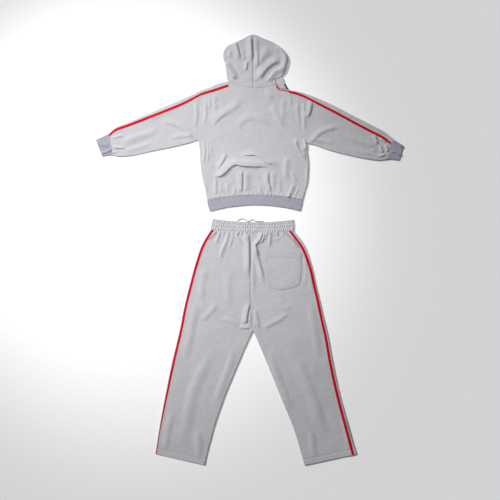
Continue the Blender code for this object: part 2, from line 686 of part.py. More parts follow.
def make_hood():
    """Two halves joined on the centre seam, each turned under at its side to the face opening."""
    edge_a, edge_b = rail(HOOD_ROWS, "lx", "ly"), rail(HOOD_ROWS, "rx", "ry")
    def lay(s, v):
        x, y = edge_a(v).lerp(edge_b(v), s)
        x += 4 * s * (1 - s) * (HOOD_SEAM_X - (edge_a(v).x + edge_b(v).x) / 2)
        return x, y + 4 * table_value(HOOD_ROWS, "bow", v) * s * (1 - s)

    cloth = Cloth(edge_a, edge_b, lay, 230.0, hood_height, FLEECE)
    rows = shares(14, stop=0.97) + TURNED_END
    opening = 0.36        # share of the width where the face opening's edge lies underneath
    for side, edge, start, stop in (("left", "a", 0.5, opening), ("right", "b", 0.5, 1 - opening)):
        outer = 0.0 if edge == "a" else 1.0
        nudge = -SEAM / 2 if edge == "a" else SEAM / 2
        top = [(1, "flat", start, nudge)] + flat(1, start, outer, 9) + turned(1, edge)[::-1]
        below = turned(-1, edge, 1) + flat(-1, outer, stop, 4) + [(-1, "flat", stop)]
        solid("hood_" + side, cloth, top + below, rows, "fleece")


def leg_cloth(rows):
    """A leg panel: edge a outside, edge b inside, sewn to its neighbour above the crotch."""
    edge_a = rail(rows, "ox", "oy")
    inseam = rail([row for row in rows if row["v"] <= CROTCH_V], "ix", "iy")
    centre = rail(CENTRE_SEAM, "x", "y")
    clear = Vector((math.copysign(SEAM / 2, rows[0]["ix"]), 0))

    def edge_b(v):
        return (inseam(v) if v <= CROTCH_V else centre(v)) + clear

    def lay(s, v):
        (lx, ly), (rx, ry), bow = WAIST_SEAM
        x, y = edge_a(v).lerp(edge_b(v), s)
        t = (x - lx) / (rx - lx)
        seam_y = ly + (ry - ly) * t + 4 * bow * t * (1 - t)
        end_y = edge_a(1.0).y + (edge_b(1.0).y - edge_a(1.0).y) * s
        return x, y + (seam_y - end_y) * smooth((v - 0.8) / 0.2)

    def sewn_centre(v):
        return 1.0 if v > CROTCH_V + 0.001 else 0.0
    return Cloth(edge_a, edge_b, lay, 1000.0, pants_height, FLEECE, sewn_b=sewn_centre)


def make_legs():
    crotch = (CROTCH_V, CROTCH_V + 0.005)
    for side, table, tape_table in (("left", LEFT_LEG, LEFT_LEG_TAPE), ("right", RIGHT_LEG, RIGHT_LEG_TAPE)):
        cloth = leg_cloth(table)
        tape = tape_stations(cloth, tape_table, "a")
        top = turned(1, "a") + tape + [(1, "flat", 0.17)] + flat(1, 0.17, 1.0, 11)
        even = shares(11, stop=CROTCH_V) + shares(17, crotch[1], start=CROTCH_V)[1:]
        panel = solid("pants_back_" + side, cloth, top + turned(1, "b")[::-1], even, "fleece")
        solid("stripe_leg_" + side, cloth, tape, even, "red", SEAM, SEAM + TAPE)
        solid("pants_front_" + side, cloth, under_face(8), shares(12, *crotch), "fleece")
    make_pocket(panel)


def make_pocket(panel):
    """A patch laid over the right seat panel, its top hem doubled."""
    faces = BVHTree.FromPolygons([v.co for v in panel.data.vertices],
                                 [f.vertices for f in panel.data.polygons])
    above, down = 0.1, Vector((0, 0, -1))

    def height(x, y):
        hit = faces.ray_cast(Vector((x * MM, y * MM, above)), down)[0]
        return hit.z / MM + POCKET_CLEAR

    edge_a, edge_b = rail(POCKET_ROWS, "lx", "ly"), rail(POCKET_ROWS, "rx", "ry")
    hem = lambda share, v: 0.7 if v > POCKET_HEM else 0.0
    cloth = Cloth(edge_a, edge_b, bowed(edge_a, edge_b, POCKET_ROWS), 157.0, height, POCKET_WALL, hem)
    over = [(1, "flat", 0.0)] + flat(1, 0.0, 1.0, 9) + [(1, "flat", 1.0)]
    rows = shares(8, POCKET_HEM - 0.01, POCKET_HEM + 0.01)
    solid("back_pocket", cloth, over, rows, "fleece", 0.0, POCKET_WALL)


def make_waistband():
    edge_a, edge_b = rail(WAISTBAND_ROWS, "lx", "ly"), rail(WAISTBAND_ROWS, "rx", "ry")
    gathers = ribs(WAIST_GATHERS, 1.0)

    def relief(share, v):
        deep = 0.7 + 0.3 * math.sin(31 * share + 2 + 1.5 * v)
        return WAIST_GATHER_RISE * deep * gathers(share, v)

    cloth = Cloth(edge_a, edge_b, bowed(edge_a, edge_b, WAISTBAND_ROWS), 49.0,
                  lambda x, y: LAY, BAND_WALL, relief)
    solid("waistband", cloth, all_round(2 * WAIST_GATHERS, 10), shares(3), "fleece")


def make_cord():
    """The drawstring's two visible loops, lying on the surface above the waistband."""
    curve = bpy.data.curves.new("drawstring", "CURVE")
    curve.dimensions = "3D"
    curve.bevel_depth = CORD_RADIUS * MM
    curve.bevel_resolution = 2
    curve.use_fill_caps = True
    xs, ys = zip(*CORD_ROUTE)
    index = list(range(len(xs)))
    spline = curve.splines.new("POLY")
    spline.points.add(CORD_STEPS)
    for k, point in enumerate(spline.points):
        t = index[-1] * k / CORD_STEPS
        x, y = curve_value(index, xs, t), curve_value(index, ys, t)
        point.co = (x * MM, y * MM, CORD_RADIUS * MM, 1.0)
    curve.materials.append(material("cord"))
    made = bpy.data.objects.new("drawstring", curve)
    bpy.context.collection.objects.link(made)


def clear_scene():
    for old in list(bpy.data.objects):
        bpy.data.objects.remove(old)


def main():
    clear_scene()
    make_body()
    make_front_shoulder()
    make_sleeves()
    make_hem_band()
    make_hood()
    make_legs()
    make_waistband()
    make_cord()


main()
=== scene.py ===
import math

import bmesh
import bpy
import numpy as np
from mathutils import Matrix, Vector
from mathutils.bvhtree import BVHTree


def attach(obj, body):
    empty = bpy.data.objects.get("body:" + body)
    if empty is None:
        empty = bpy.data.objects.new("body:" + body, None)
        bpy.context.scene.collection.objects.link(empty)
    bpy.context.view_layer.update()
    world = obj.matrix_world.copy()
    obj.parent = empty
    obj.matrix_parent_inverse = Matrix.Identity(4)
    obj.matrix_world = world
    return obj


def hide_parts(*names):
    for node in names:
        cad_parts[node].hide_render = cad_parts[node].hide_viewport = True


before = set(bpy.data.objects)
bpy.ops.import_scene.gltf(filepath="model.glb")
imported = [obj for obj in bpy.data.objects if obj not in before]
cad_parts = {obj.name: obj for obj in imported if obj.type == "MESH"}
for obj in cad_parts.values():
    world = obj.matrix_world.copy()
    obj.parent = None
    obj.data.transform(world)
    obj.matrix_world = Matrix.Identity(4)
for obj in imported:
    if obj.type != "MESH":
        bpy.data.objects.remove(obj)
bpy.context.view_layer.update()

# Hoodie and sweatpants laid flat, face down. The tables are in millimetres:
# X runs right, Y from the hems to the hood, Z up from the floor.
mm = 0.001
cloth = dict(
    layer=6.0,        # height of two layers lying on each other
    seam=0.3,         # clear space between two pieces
    fleece=2.0,       # walls
    rib=2.2,
    band=2.4,
    tape=0.8,
    cell=3.2,         # mesh spacing where the cloth shows
    underCell=9.0,    # and on the layer beneath
    turns=6,          # steps round a turned edge
)
radius = cloth["layer"] / 2
halfSeam = cloth["seam"] / 2


# Small maths

def smooth(t):
    t = np.clip(t, 0.0, 1.0)
    return t * t * (3 - 2 * t)


def curveValue(xs, ys, at):
    # a smooth curve through the points, as the solids use
    xs, ys = np.array(xs, float), np.array(ys, float)
    at = np.clip(at, xs[0], xs[-1])
    k = np.clip(np.searchsorted(xs, at, side="right") - 1, 0, len(xs) - 2)
    before = np.maximum(np.arange(len(xs)) - 1, 0)
    after = np.minimum(np.arange(len(xs)) + 1, len(xs) - 1)
    slope = (ys[after] - ys[before]) / (xs[after] - xs[before])
    h = xs[k + 1] - xs[k]
    t = (at - xs[k]) / h
    return ((2 * t**3 - 3 * t**2 + 1) * ys[k] + (t**3 - 2 * t**2 + t) * h * slope[k]
            + (3 * t**2 - 2 * t**3) * ys[k + 1] + (t**3 - t**2) * h * slope[k + 1])


def tableValue(rows, column, v):
    return curveValue([row["v"] for row in rows], [row[column] for row in rows], v)


def rail(rows, x, y):
    return lambda v: np.stack((tableValue(rows, x, v), tableValue(rows, y, v)), axis=-1)


def mix(a, b, t):
    return a + (b - a) * np.asarray(t)[..., None]


def spanLength(points):
    return np.hypot(*np.diff(points, axis=0).T)


def alongRoute(points, t):
    # the point at share t of a chain of points, by length
    points = np.array(points, float)
    reached = np.concatenate(([0.0], np.cumsum(spanLength(points))))
    at = np.asarray(t) * reached[-1]
    return np.stack((np.interp(at, reached, points[:, 0]), np.interp(at, reached, points[:, 1])), axis=-1)


def smoothRoute(points, perSpan=5):
    index = np.arange(len(points))
    t = np.linspace(0, len(points) - 1, (len(points) - 1) * perSpan + 1)
    xs, ys = zip(*points)
    return np.stack((curveValue(index, xs, t), curveValue(index, ys, t)), axis=-1)


def softNoise(x, y, size, seed):
    # slow uneven rise from -1 to 1
    lattice = np.random.default_rng(seed).uniform(-1, 1, (64, 64))
    i, j = np.floor(x / size).astype(int), np.floor(y / size).astype(int)
    fu, fv = smooth(x / size - i), smooth(y / size - j)
    corner = lambda a, b: lattice[(i + a) % 64, (j + b) % 64]
    low = corner(0, 0) * (1 - fu) + corner(1, 0) * fu
    high = corner(0, 1) * (1 - fu) + corner(1, 1) * fu
    return low * (1 - fv) + high * fv


# Folds: at is the route of the crest (or of the bottom where rise is below 0), left and right the
# reach of the slopes on each side, lean how far the crest is pushed over to its right side.

def addFolds(folds, x, y):
    # returns the rise of all the folds together, and how far they push the cloth in x and y
    rise, pushX, pushY = np.zeros_like(x), np.zeros_like(x), np.zeros_like(x)
    for fold in folds:
        route = smoothRoute(fold["at"])
        reach = max(fold["left"], fold["right"])
        near = ((x > route[:, 0].min() - reach) & (x < route[:, 0].max() + reach)
                & (y > route[:, 1].min() - reach) & (y < route[:, 1].max() + reach))
        if not near.any():
            continue
        px, py = x[near], y[near]
        best, side, share = np.full(px.shape, 1e9), np.zeros(px.shape), np.zeros(px.shape)
        outX, outY = np.zeros(px.shape), np.zeros(px.shape)
        spans = np.diff(route, axis=0)
        lengths = np.hypot(*spans.T)
        done = 0.0
        for (ax, ay), (rx, ry), length in zip(route, spans, lengths):
            t = np.clip(((px - ax) * rx + (py - ay) * ry) / length**2, 0, 1)
            dx, dy = px - (ax + rx * t), py - (ay + ry * t)
            away = np.hypot(dx, dy)
            closer = away < best
            best = np.where(closer, away, best)
            side = np.where(closer, rx * dy - ry * dx, side)
            share = np.where(closer, (done + t * length) / lengths.sum(), share)
            outX = np.where(closer, ry / length, outX)
            outY = np.where(closer, -rx / length, outY)
            done += length
        inside = best / np.where(side > 0, fold["left"], fold["right"])
        profile = np.where(inside < 1, 0.5 + 0.5 * np.cos(np.pi * np.clip(inside, 0, 1)), 0.0)
        start, stop = fold.get("taper", (0.3, 0.3))
        profile *= smooth(share / start) * smooth((1 - share) / stop)
        rise[near] += fold["rise"] * profile
        pushX[near] += fold.get("lean", 0) * outX * profile
        pushY[near] += fold.get("lean", 0) * outY * profile
    return rise, pushX, pushY


# Camera: straight down on the floor, framed as the photograph

view = dict(
    wide=2200.0,              # millimetres of floor across the picture
    centre=(3.3, -0.9),
    height=4200.0,
    sensor=36.0,
)


def makeCamera():
    data = bpy.data.cameras.new("camera")
    data.sensor_width = view["sensor"]
    data.lens = view["sensor"] * view["height"] / view["wide"]
    data.clip_end = 50
    camera = bpy.data.objects.new("camera", data)
    camera.location = (view["centre"][0] * mm, view["centre"][1] * mm, view["height"] * mm)
    bpy.context.collection.objects.link(camera)
    bpy.context.scene.camera = camera
    print("camera made")


# Materials

fleeceFinish = dict(
    light=(0.540, 0.540, 0.562),
    dark=(0.392, 0.393, 0.420),
    fleck=900.0,              # flecks of the mixed yarn, per metre
    blotch=150.0,             # slower mottling
    wale=209.0,               # columns of knit stitches 1.5 mm apart
    roughness=0.92,
)
ribFinish = dict(
    light=(0.370, 0.374, 0.430),
    dark=(0.262, 0.266, 0.318),
    fleck=800.0,
    blotch=140.0,
    wale=150.0,
    roughness=0.9,
)
tapeFinish = dict(red=(0.56, 0.001, 0.014), navy=(0.004, 0.030, 0.095), weave=240.0, roughness=0.62)
cordFinish = dict(light=(0.40, 0.40, 0.42), dark=(0.22, 0.22, 0.24), braid=0.0022)
threadFinish = dict(colour=(0.30, 0.30, 0.325), roughness=0.7)
# dark colours of the strips of painted shade laid along the side pocket openings
pocketShadeFinish = dict(light=(0.150, 0.150, 0.160), dark=(0.090, 0.090, 0.098), fleck=900.0, blotch=150.0,
                   wale=209.0, roughness=0.95)


def newMaterial(name):
    made = bpy.data.materials.new(name)
    made.use_nodes = True
    nodes = made.node_tree.nodes
    return made, nodes, made.node_tree.links, nodes["Principled BSDF"]


def addNode(nodes, kind, **values):
    node = nodes.new(kind)
    for key, value in values.items():
        if key in node.inputs.keys():
            node.inputs[key].default_value = value
        else:
            setattr(node, key, value)
    return node


def yarnColour(nodes, links, place, finish):
    # flecks of two yarns, with a slower mottling over them
    stretch = addNode(nodes, "ShaderNodeMapping")
    stretch.inputs["Scale"].default_value = (1.0, 0.55, 1.0)
    links.new(place, stretch.inputs["Vector"])
    fleck = addNode(nodes, "ShaderNodeTexNoise", Scale=finish["fleck"], Detail=2.0, Roughness=0.6)
    blotch = addNode(nodes, "ShaderNodeTexNoise", Scale=finish["blotch"], Detail=3.0, Roughness=0.7)
    links.new(stretch.outputs["Vector"], fleck.inputs["Vector"])
    links.new(place, blotch.inputs["Vector"])
    both = addNode(nodes, "ShaderNodeMath", operation="MULTIPLY_ADD")
    both.inputs[1].default_value = 0.42
    links.new(blotch.outputs["Fac"], both.inputs[0])
    weight = addNode(nodes, "ShaderNodeMath", operation="MULTIPLY")
    weight.inputs[1].default_value = 0.58
    links.new(fleck.outputs["Fac"], weight.inputs[0])
    links.new(weight.outputs[0], both.inputs[2])
    ramp = addNode(nodes, "ShaderNodeValToRGB")
    ramp.color_ramp.elements[0].position = 0.38
    ramp.color_ramp.elements[1].position = 0.60
    ramp.color_ramp.elements[0].color = (*finish["dark"], 1)
    ramp.color_ramp.elements[1].color = (*finish["light"], 1)
    links.new(both.outputs[0], ramp.inputs["Fac"])
    return ramp.outputs["Color"], fleck.outputs["Fac"]


def knitHeight(nodes, links, place, finish, fleck):
    # columns and courses of knit stitches under a brushed nap
    wales = addNode(nodes, "ShaderNodeTexWave", Scale=finish["wale"], Distortion=0.6,
                    wave_type="BANDS", bands_direction="X")
    courses = addNode(nodes, "ShaderNodeTexWave", Scale=finish["wale"] * 1.3, Distortion=0.6,
                      wave_type="BANDS", bands_direction="Y")
    links.new(place, wales.inputs["Vector"])
    links.new(place, courses.inputs["Vector"])
    knit = addNode(nodes, "ShaderNodeMath", operation="MULTIPLY_ADD")
    knit.inputs[1].default_value = 0.5
    links.new(courses.outputs["Fac"], knit.inputs[0])
    links.new(wales.outputs["Fac"], knit.inputs[2])
    nap = addNode(nodes, "ShaderNodeMath", operation="MULTIPLY_ADD")
    nap.inputs[1].default_value = 1.2
    links.new(fleck, nap.inputs[0])
    links.new(knit.outputs[0], nap.inputs[2])
    return nap.outputs[0]


def addBump(nodes, links, shader, height, strength, distance):
    bump = addNode(nodes, "ShaderNodeBump", Strength=strength, Distance=distance)
    links.new(height, bump.inputs["Height"])
    links.new(bump.outputs["Normal"], shader.inputs["Normal"])


def knitMaterial(name, finish, depth):
    made, nodes, links, shader = newMaterial(name)
    place = addNode(nodes, "ShaderNodeTexCoord").outputs["UV"]
    colour, fleck = yarnColour(nodes, links, place, finish)
    links.new(colour, shader.inputs["Base Color"])
    addBump(nodes, links, shader, knitHeight(nodes, links, place, finish, fleck), 0.55, depth)
    shader.inputs["Roughness"].default_value = finish["roughness"]
    shader.inputs["Specular IOR Level"].default_value = 0.2
    shader.inputs["Sheen Weight"].default_value = 0.12
    shader.inputs["Sheen Roughness"].default_value = 0.5
    return made


def tapeMaterial(name, colour):
    made, nodes, links, shader = newMaterial(name)
    place = addNode(nodes, "ShaderNodeTexCoord").outputs["UV"]
    weft = addNode(nodes, "ShaderNodeTexWave", Scale=tapeFinish["weave"], Distortion=0.4,
                   wave_type="BANDS", bands_direction="Y")
    links.new(place, weft.inputs["Vector"])
    shade = addNode(nodes, "ShaderNodeValToRGB")
    shade.color_ramp.elements[0].color = (*[c * 0.80 for c in colour], 1)
    shade.color_ramp.elements[1].color = (*colour, 1)
    links.new(weft.outputs["Fac"], shade.inputs["Fac"])
    links.new(shade.outputs["Color"], shader.inputs["Base Color"])
    addBump(nodes, links, shader, weft.outputs["Fac"], 0.4, 0.0002)
    shader.inputs["Roughness"].default_value = tapeFinish["roughness"]
    shader.inputs["Specular IOR Level"].default_value = 0.08
    return made


def cordMaterial():
    made, nodes, links, shader = newMaterial("braidedCord")
    place = addNode(nodes, "ShaderNodeTexCoord").outputs["Object"]
    braid = addNode(nodes, "ShaderNodeTexVoronoi", Scale=1 / cordFinish["braid"])
    links.new(place, braid.inputs["Vector"])
    ramp = addNode(nodes, "ShaderNodeValToRGB")
    ramp.color_ramp.elements[0].color = (*cordFinish["light"], 1)
    ramp.color_ramp.elements[1].color = (*cordFinish["dark"], 1)
    links.new(braid.outputs["Distance"], ramp.inputs["Fac"])
    links.new(ramp.outputs["Color"], shader.inputs["Base Color"])
    addBump(nodes, links, shader, braid.outputs["Distance"], 0.6, 0.0004)
    shader.inputs["Roughness"].default_value = 0.8
    return made


def threadMaterial():
    made, nodes, links, shader = newMaterial("sewingThread")
    place = addNode(nodes, "ShaderNodeTexCoord").outputs["Object"]
    twist = addNode(nodes, "ShaderNodeTexNoise", Scale=1500.0, Detail=1.0)
    links.new(place, twist.inputs["Vector"])
    ramp = addNode(nodes, "ShaderNodeValToRGB")
    ramp.color_ramp.elements[0].color = (*[c * 0.8 for c in threadFinish["colour"]], 1)
    ramp.color_ramp.elements[1].color = (*threadFinish["colour"], 1)
    links.new(twist.outputs["Fac"], ramp.inputs["Fac"])
    links.new(ramp.outputs["Color"], shader.inputs["Base Color"])
    shader.inputs["Roughness"].default_value = threadFinish["roughness"]
    return made


finishes = dict(
    fleece=knitMaterial("brushedFleece", fleeceFinish, 0.0005),
    rib=knitMaterial("ribKnit", ribFinish, 0.0006),
    red_tape=tapeMaterial("redTape", tapeFinish["red"]),
    navy_tape=tapeMaterial("navyTape", tapeFinish["navy"]),
    cord=cordMaterial(),
    thread=threadMaterial(),
    # a near-black knit that paints shade into the side pocket openings
    pocket_shade=knitMaterial("paintedPocketShade", pocketShadeFinish, 0.0003),
)
print("materials made")


# Drawstring: two loops that stand out above the waistband, lying on the floor

drawstring = dict(
    node="drawstring",
    radius=1.9,
    steps=56,
    length=0.122,
    route=[
        (-52, 127), (-46, 131.5), (-38, 135.5), (-29, 136.5), (-20, 133.5), (-12, 128), (-4, 125.4),
        (4, 128.5), (11, 131.6), (18, 131.4), (25, 128), (33, 125.1), (43, 124.6), (53, 124.7),
        (62, 124.9),
    ],
)


def makeDrawstring():
    curve = bpy.data.curves.new("drawcord", "CURVE")
    curve.dimensions = "3D"
    curve.bevel_depth = drawstring["radius"] * mm
    curve.bevel_resolution = 4
    curve.use_fill_caps = True
    route = smoothRoute(drawstring["route"], drawstring["steps"] // (len(drawstring["route"]) - 1))
    spline = curve.splines.new("POLY")
    spline.points.add(len(route) - 1)
    for point, (x, y) in zip(spline.points, route):
        point.co = (x * mm, y * mm, drawstring["radius"] * mm, 1)
    curve.materials.append(finishes["cord"])
    made = bpy.data.objects.new("drawcord", curve)
    bpy.context.collection.objects.link(made)
    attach(made, "root")
    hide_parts(drawstring["node"])
    print("drawstring made, %.1f mm" % spanLength(route).sum())


# A section runs across the cloth from edge a to edge b. A column of the mesh is (side, kind, value):
# side 1 on top and -1 underneath; kind "a turn" or "b turn" an angle round that turned edge,
# "flat" a share of the width, "a mm" a distance from edge a. Rows are groups of (kind, values).

turnAngles = np.linspace(0, 90, cloth["turns"] + 1)


def turned(side, edge, start=0):
    return [(side, edge + " turn", angle) for angle in turnAngles[start:]]


def flatColumns(side, start, stop, count):
    # shares between start and stop, both left out
    return [(side, "flat", start + (stop - start) * k / count) for k in range(1, count)]


def topColumns(count):
    return turned(1, "a") + flatColumns(1, 0, 1, count) + turned(1, "b")[::-1]


def underColumns(count):
    return turned(-1, "a") + flatColumns(-1, 0, 1, count) + turned(-1, "b")[::-1]


def roundColumns(count, underCount):
    below = turned(-1, "b", 1) + flatColumns(-1, 1, 0, underCount) + turned(-1, "a")[::-1]
    return topColumns(count) + below


def shareRows(count, *extra, start=0.0, stop=1.0):
    return ("share", np.array(sorted(set(np.linspace(start, stop, count + 1)) | set(extra))))


endRows = ("turn", turnAngles[::-1])
none = lambda t: np.zeros_like(np.asarray(t, float))


def across(piece, column, v, off):
    # share of the width, and share of the full height there
    width = np.hypot(*(piece["edgeB"](v) - piece["edgeA"](v)).T)
    kind, value = column[1:3]
    if kind == "flat":
        return (radius + (width - 2 * radius) * value) / width, np.ones_like(v)
    if kind == "a mm":
        return value(v) / width, np.ones_like(v)
    sewn = piece.get("sewnA", none)(v) if kind[0] == "a" else piece.get("sewnB", none)(v)
    angle = math.radians(value)
    q = radius - (radius + off * (1 - sewn)) * math.cos(angle) + sewn * halfSeam
    level = math.sin(angle) * (1 - sewn) + sewn
    return (q if kind[0] == "a" else width - q) / width, level


def rowPlace(piece, kind, values, s, off):
    # share of the length, and share of the full height there
    clear = halfSeam / piece["length"]
    if kind == "share":
        return np.clip(values, clear, 1 - clear), np.ones_like(values)
    if kind == "tape":
        back = tableValue(shoulderTape, "off", s) + (1 - values) * tableValue(shoulderTape, "wide", s)
        return 1 - back / piece["length"], np.ones_like(values)
    sewn, turn = piece.get("sewnEnd", none)(s), np.radians(values)
    back = radius - (radius + off * (1 - sewn)) * np.cos(turn) + sewn * halfSeam
    return 1 - back / piece["length"], np.sin(turn) * (1 - sewn) + sewn


def placeGrid(piece, columns, rows, off, outer):
    # millimetre points of the whole grid, rows by columns, and its place on the flat cloth
    shareS, shareV, levels = [], [], []
    for column in columns:
        parts = []
        for kind, values in rows:
            near = values if kind == "share" else np.ones_like(values)
            s = across(piece, column, near, off)[0]
            v, endLevel = rowPlace(piece, kind, values, s, off)
            s, level = across(piece, column, v, off)
            parts.append((s, v, level * endLevel))
        s, v, level = (np.concatenate(part) for part in zip(*parts))
        shareS.append(s)
        shareV.append(v)
        levels.append(level)
    s, v, level = (np.stack(part, axis=1) for part in (shareS, shareV, levels))
    x, y = np.moveaxis(piece["lay"](s, v), -1, 0)
    side = np.array([column[0] for column in columns])[None, :]
    height, pushX, pushY = piece["height"](x, y)
    if outer and "relief" in piece:
        height = height + piece["relief"](s, v) * np.where(level > 0.98, 1.0, level)
    rise = np.where(side > 0, height - radius + off, radius + off)
    z = radius + side * (halfSeam + (rise - halfSeam) * level)
    lifted = np.where(side > 0, level, 0.0)
    points = np.stack((x + pushX * lifted, y + pushY * lifted, z), axis=-1)
    across0 = np.hypot(*np.moveaxis(piece["edgeB"](v) - piece["edgeA"](v), -1, 0)) * s
    flatPlace = np.stack((across0 * side, v * piece["length"]), axis=-1)
    return points, flatPlace


def shellMesh(name, outer, inner, flatPlace):
    # a grid and a copy of it inside, joined at the rim, moved onto the points
    rows, columns = outer.shape[:2]
    bm = bmesh.new()
    bmesh.ops.create_grid(bm, x_segments=columns - 1, y_segments=rows - 1, size=1)
    raised = bmesh.ops.extrude_face_region(bm, geom=bm.faces[:])
    bmesh.ops.translate(bm, vec=(0, 0, 1), verts=[v for v in raised["geom"]
                                                  if isinstance(v, bmesh.types.BMVert)])
    mesh = bpy.data.meshes.new(name)
    bm.to_mesh(mesh)
    bm.free()
    co = np.empty(len(mesh.vertices) * 3)
    mesh.vertices.foreach_get("co", co)
    co = co.reshape(-1, 3)
    i = np.rint((co[:, 0] + 1) / 2 * (columns - 1)).astype(int)
    j = np.rint((co[:, 1] + 1) / 2 * (rows - 1)).astype(int)
    placed = np.where(co[:, 2:] > 0.5, inner[j, i], outer[j, i]) * mm
    mesh.vertices.foreach_set("co", placed.ravel())
    layer = mesh.uv_layers.new(name="flatCloth")
    loops = np.empty(len(mesh.loops), int)
    mesh.loops.foreach_get("vertex_index", loops)
    layer.data.foreach_set("uv", (flatPlace[j, i] * mm)[loops].ravel())
    bm = bmesh.new()
    bm.from_mesh(mesh)
    bmesh.ops.recalc_face_normals(bm, faces=bm.faces[:])
    if bm.calc_volume(signed=True) < 0:
        bmesh.ops.reverse_faces(bm, faces=bm.faces[:])
    bm.to_mesh(mesh)
    bm.free()
    mesh.shade_smooth()
    mesh.set_sharp_from_angle(angle=math.radians(72))
    return mesh


made = {}


def addPiece(name, node, mesh, slot, parts=()):
    mesh.materials.append(finishes[slot])
    piece = bpy.data.objects.new(name, mesh)
    bpy.context.collection.objects.link(piece)
    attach(piece, "root")
    if node:
        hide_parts(node)
    made[name] = piece
    return piece


def makeShell(name, node, piece, columns, rows, slot, low=None, high=0.0):
    low = -piece["wall"] if low is None else low
    outer, flatPlace = placeGrid(piece, columns, rows, high, True)
    inner = placeGrid(piece, columns, rows, low, False)[0]
    made = addPiece(name, node, shellMesh(name, outer, inner, flatPlace), slot)
    print(name, len(made.data.polygons) * 2, "triangles")
    return made


# Seams shared by neighbours

neck = dict(left=(-92, 741), right=(118, 731), dip=22, middle=17.5)
armLeft = dict(low=(-224, 482), top=(-210, 703), bow=-7)
armRight = dict(low=(251, 467), top=(235, 691), bow=7)
bandSeam = dict(left=(-186, 219), right=(236, 220), bow=22)
waistSeam = dict(left=(-170, 88), right=(196, 84), bow=-6)


def seamPoint(arm, t):
    low, top = np.array(arm["low"], float), np.array(arm["top"], float)
    run = (top - low) / np.hypot(*(top - low))
    return mix(low, top, t) + np.array((run[1], -run[0])) * (4 * arm["bow"] * t * (1 - t))[..., None]


def neckPoint(t):
    left, right = np.array(neck["left"], float), np.array(neck["right"], float)
    pull = np.array((neck["middle"] - (left[0] + right[0]) / 2, -neck["dip"]))
    return mix(left, right, t) + pull * (4 * t * (1 - t))[..., None]


# Hoodie

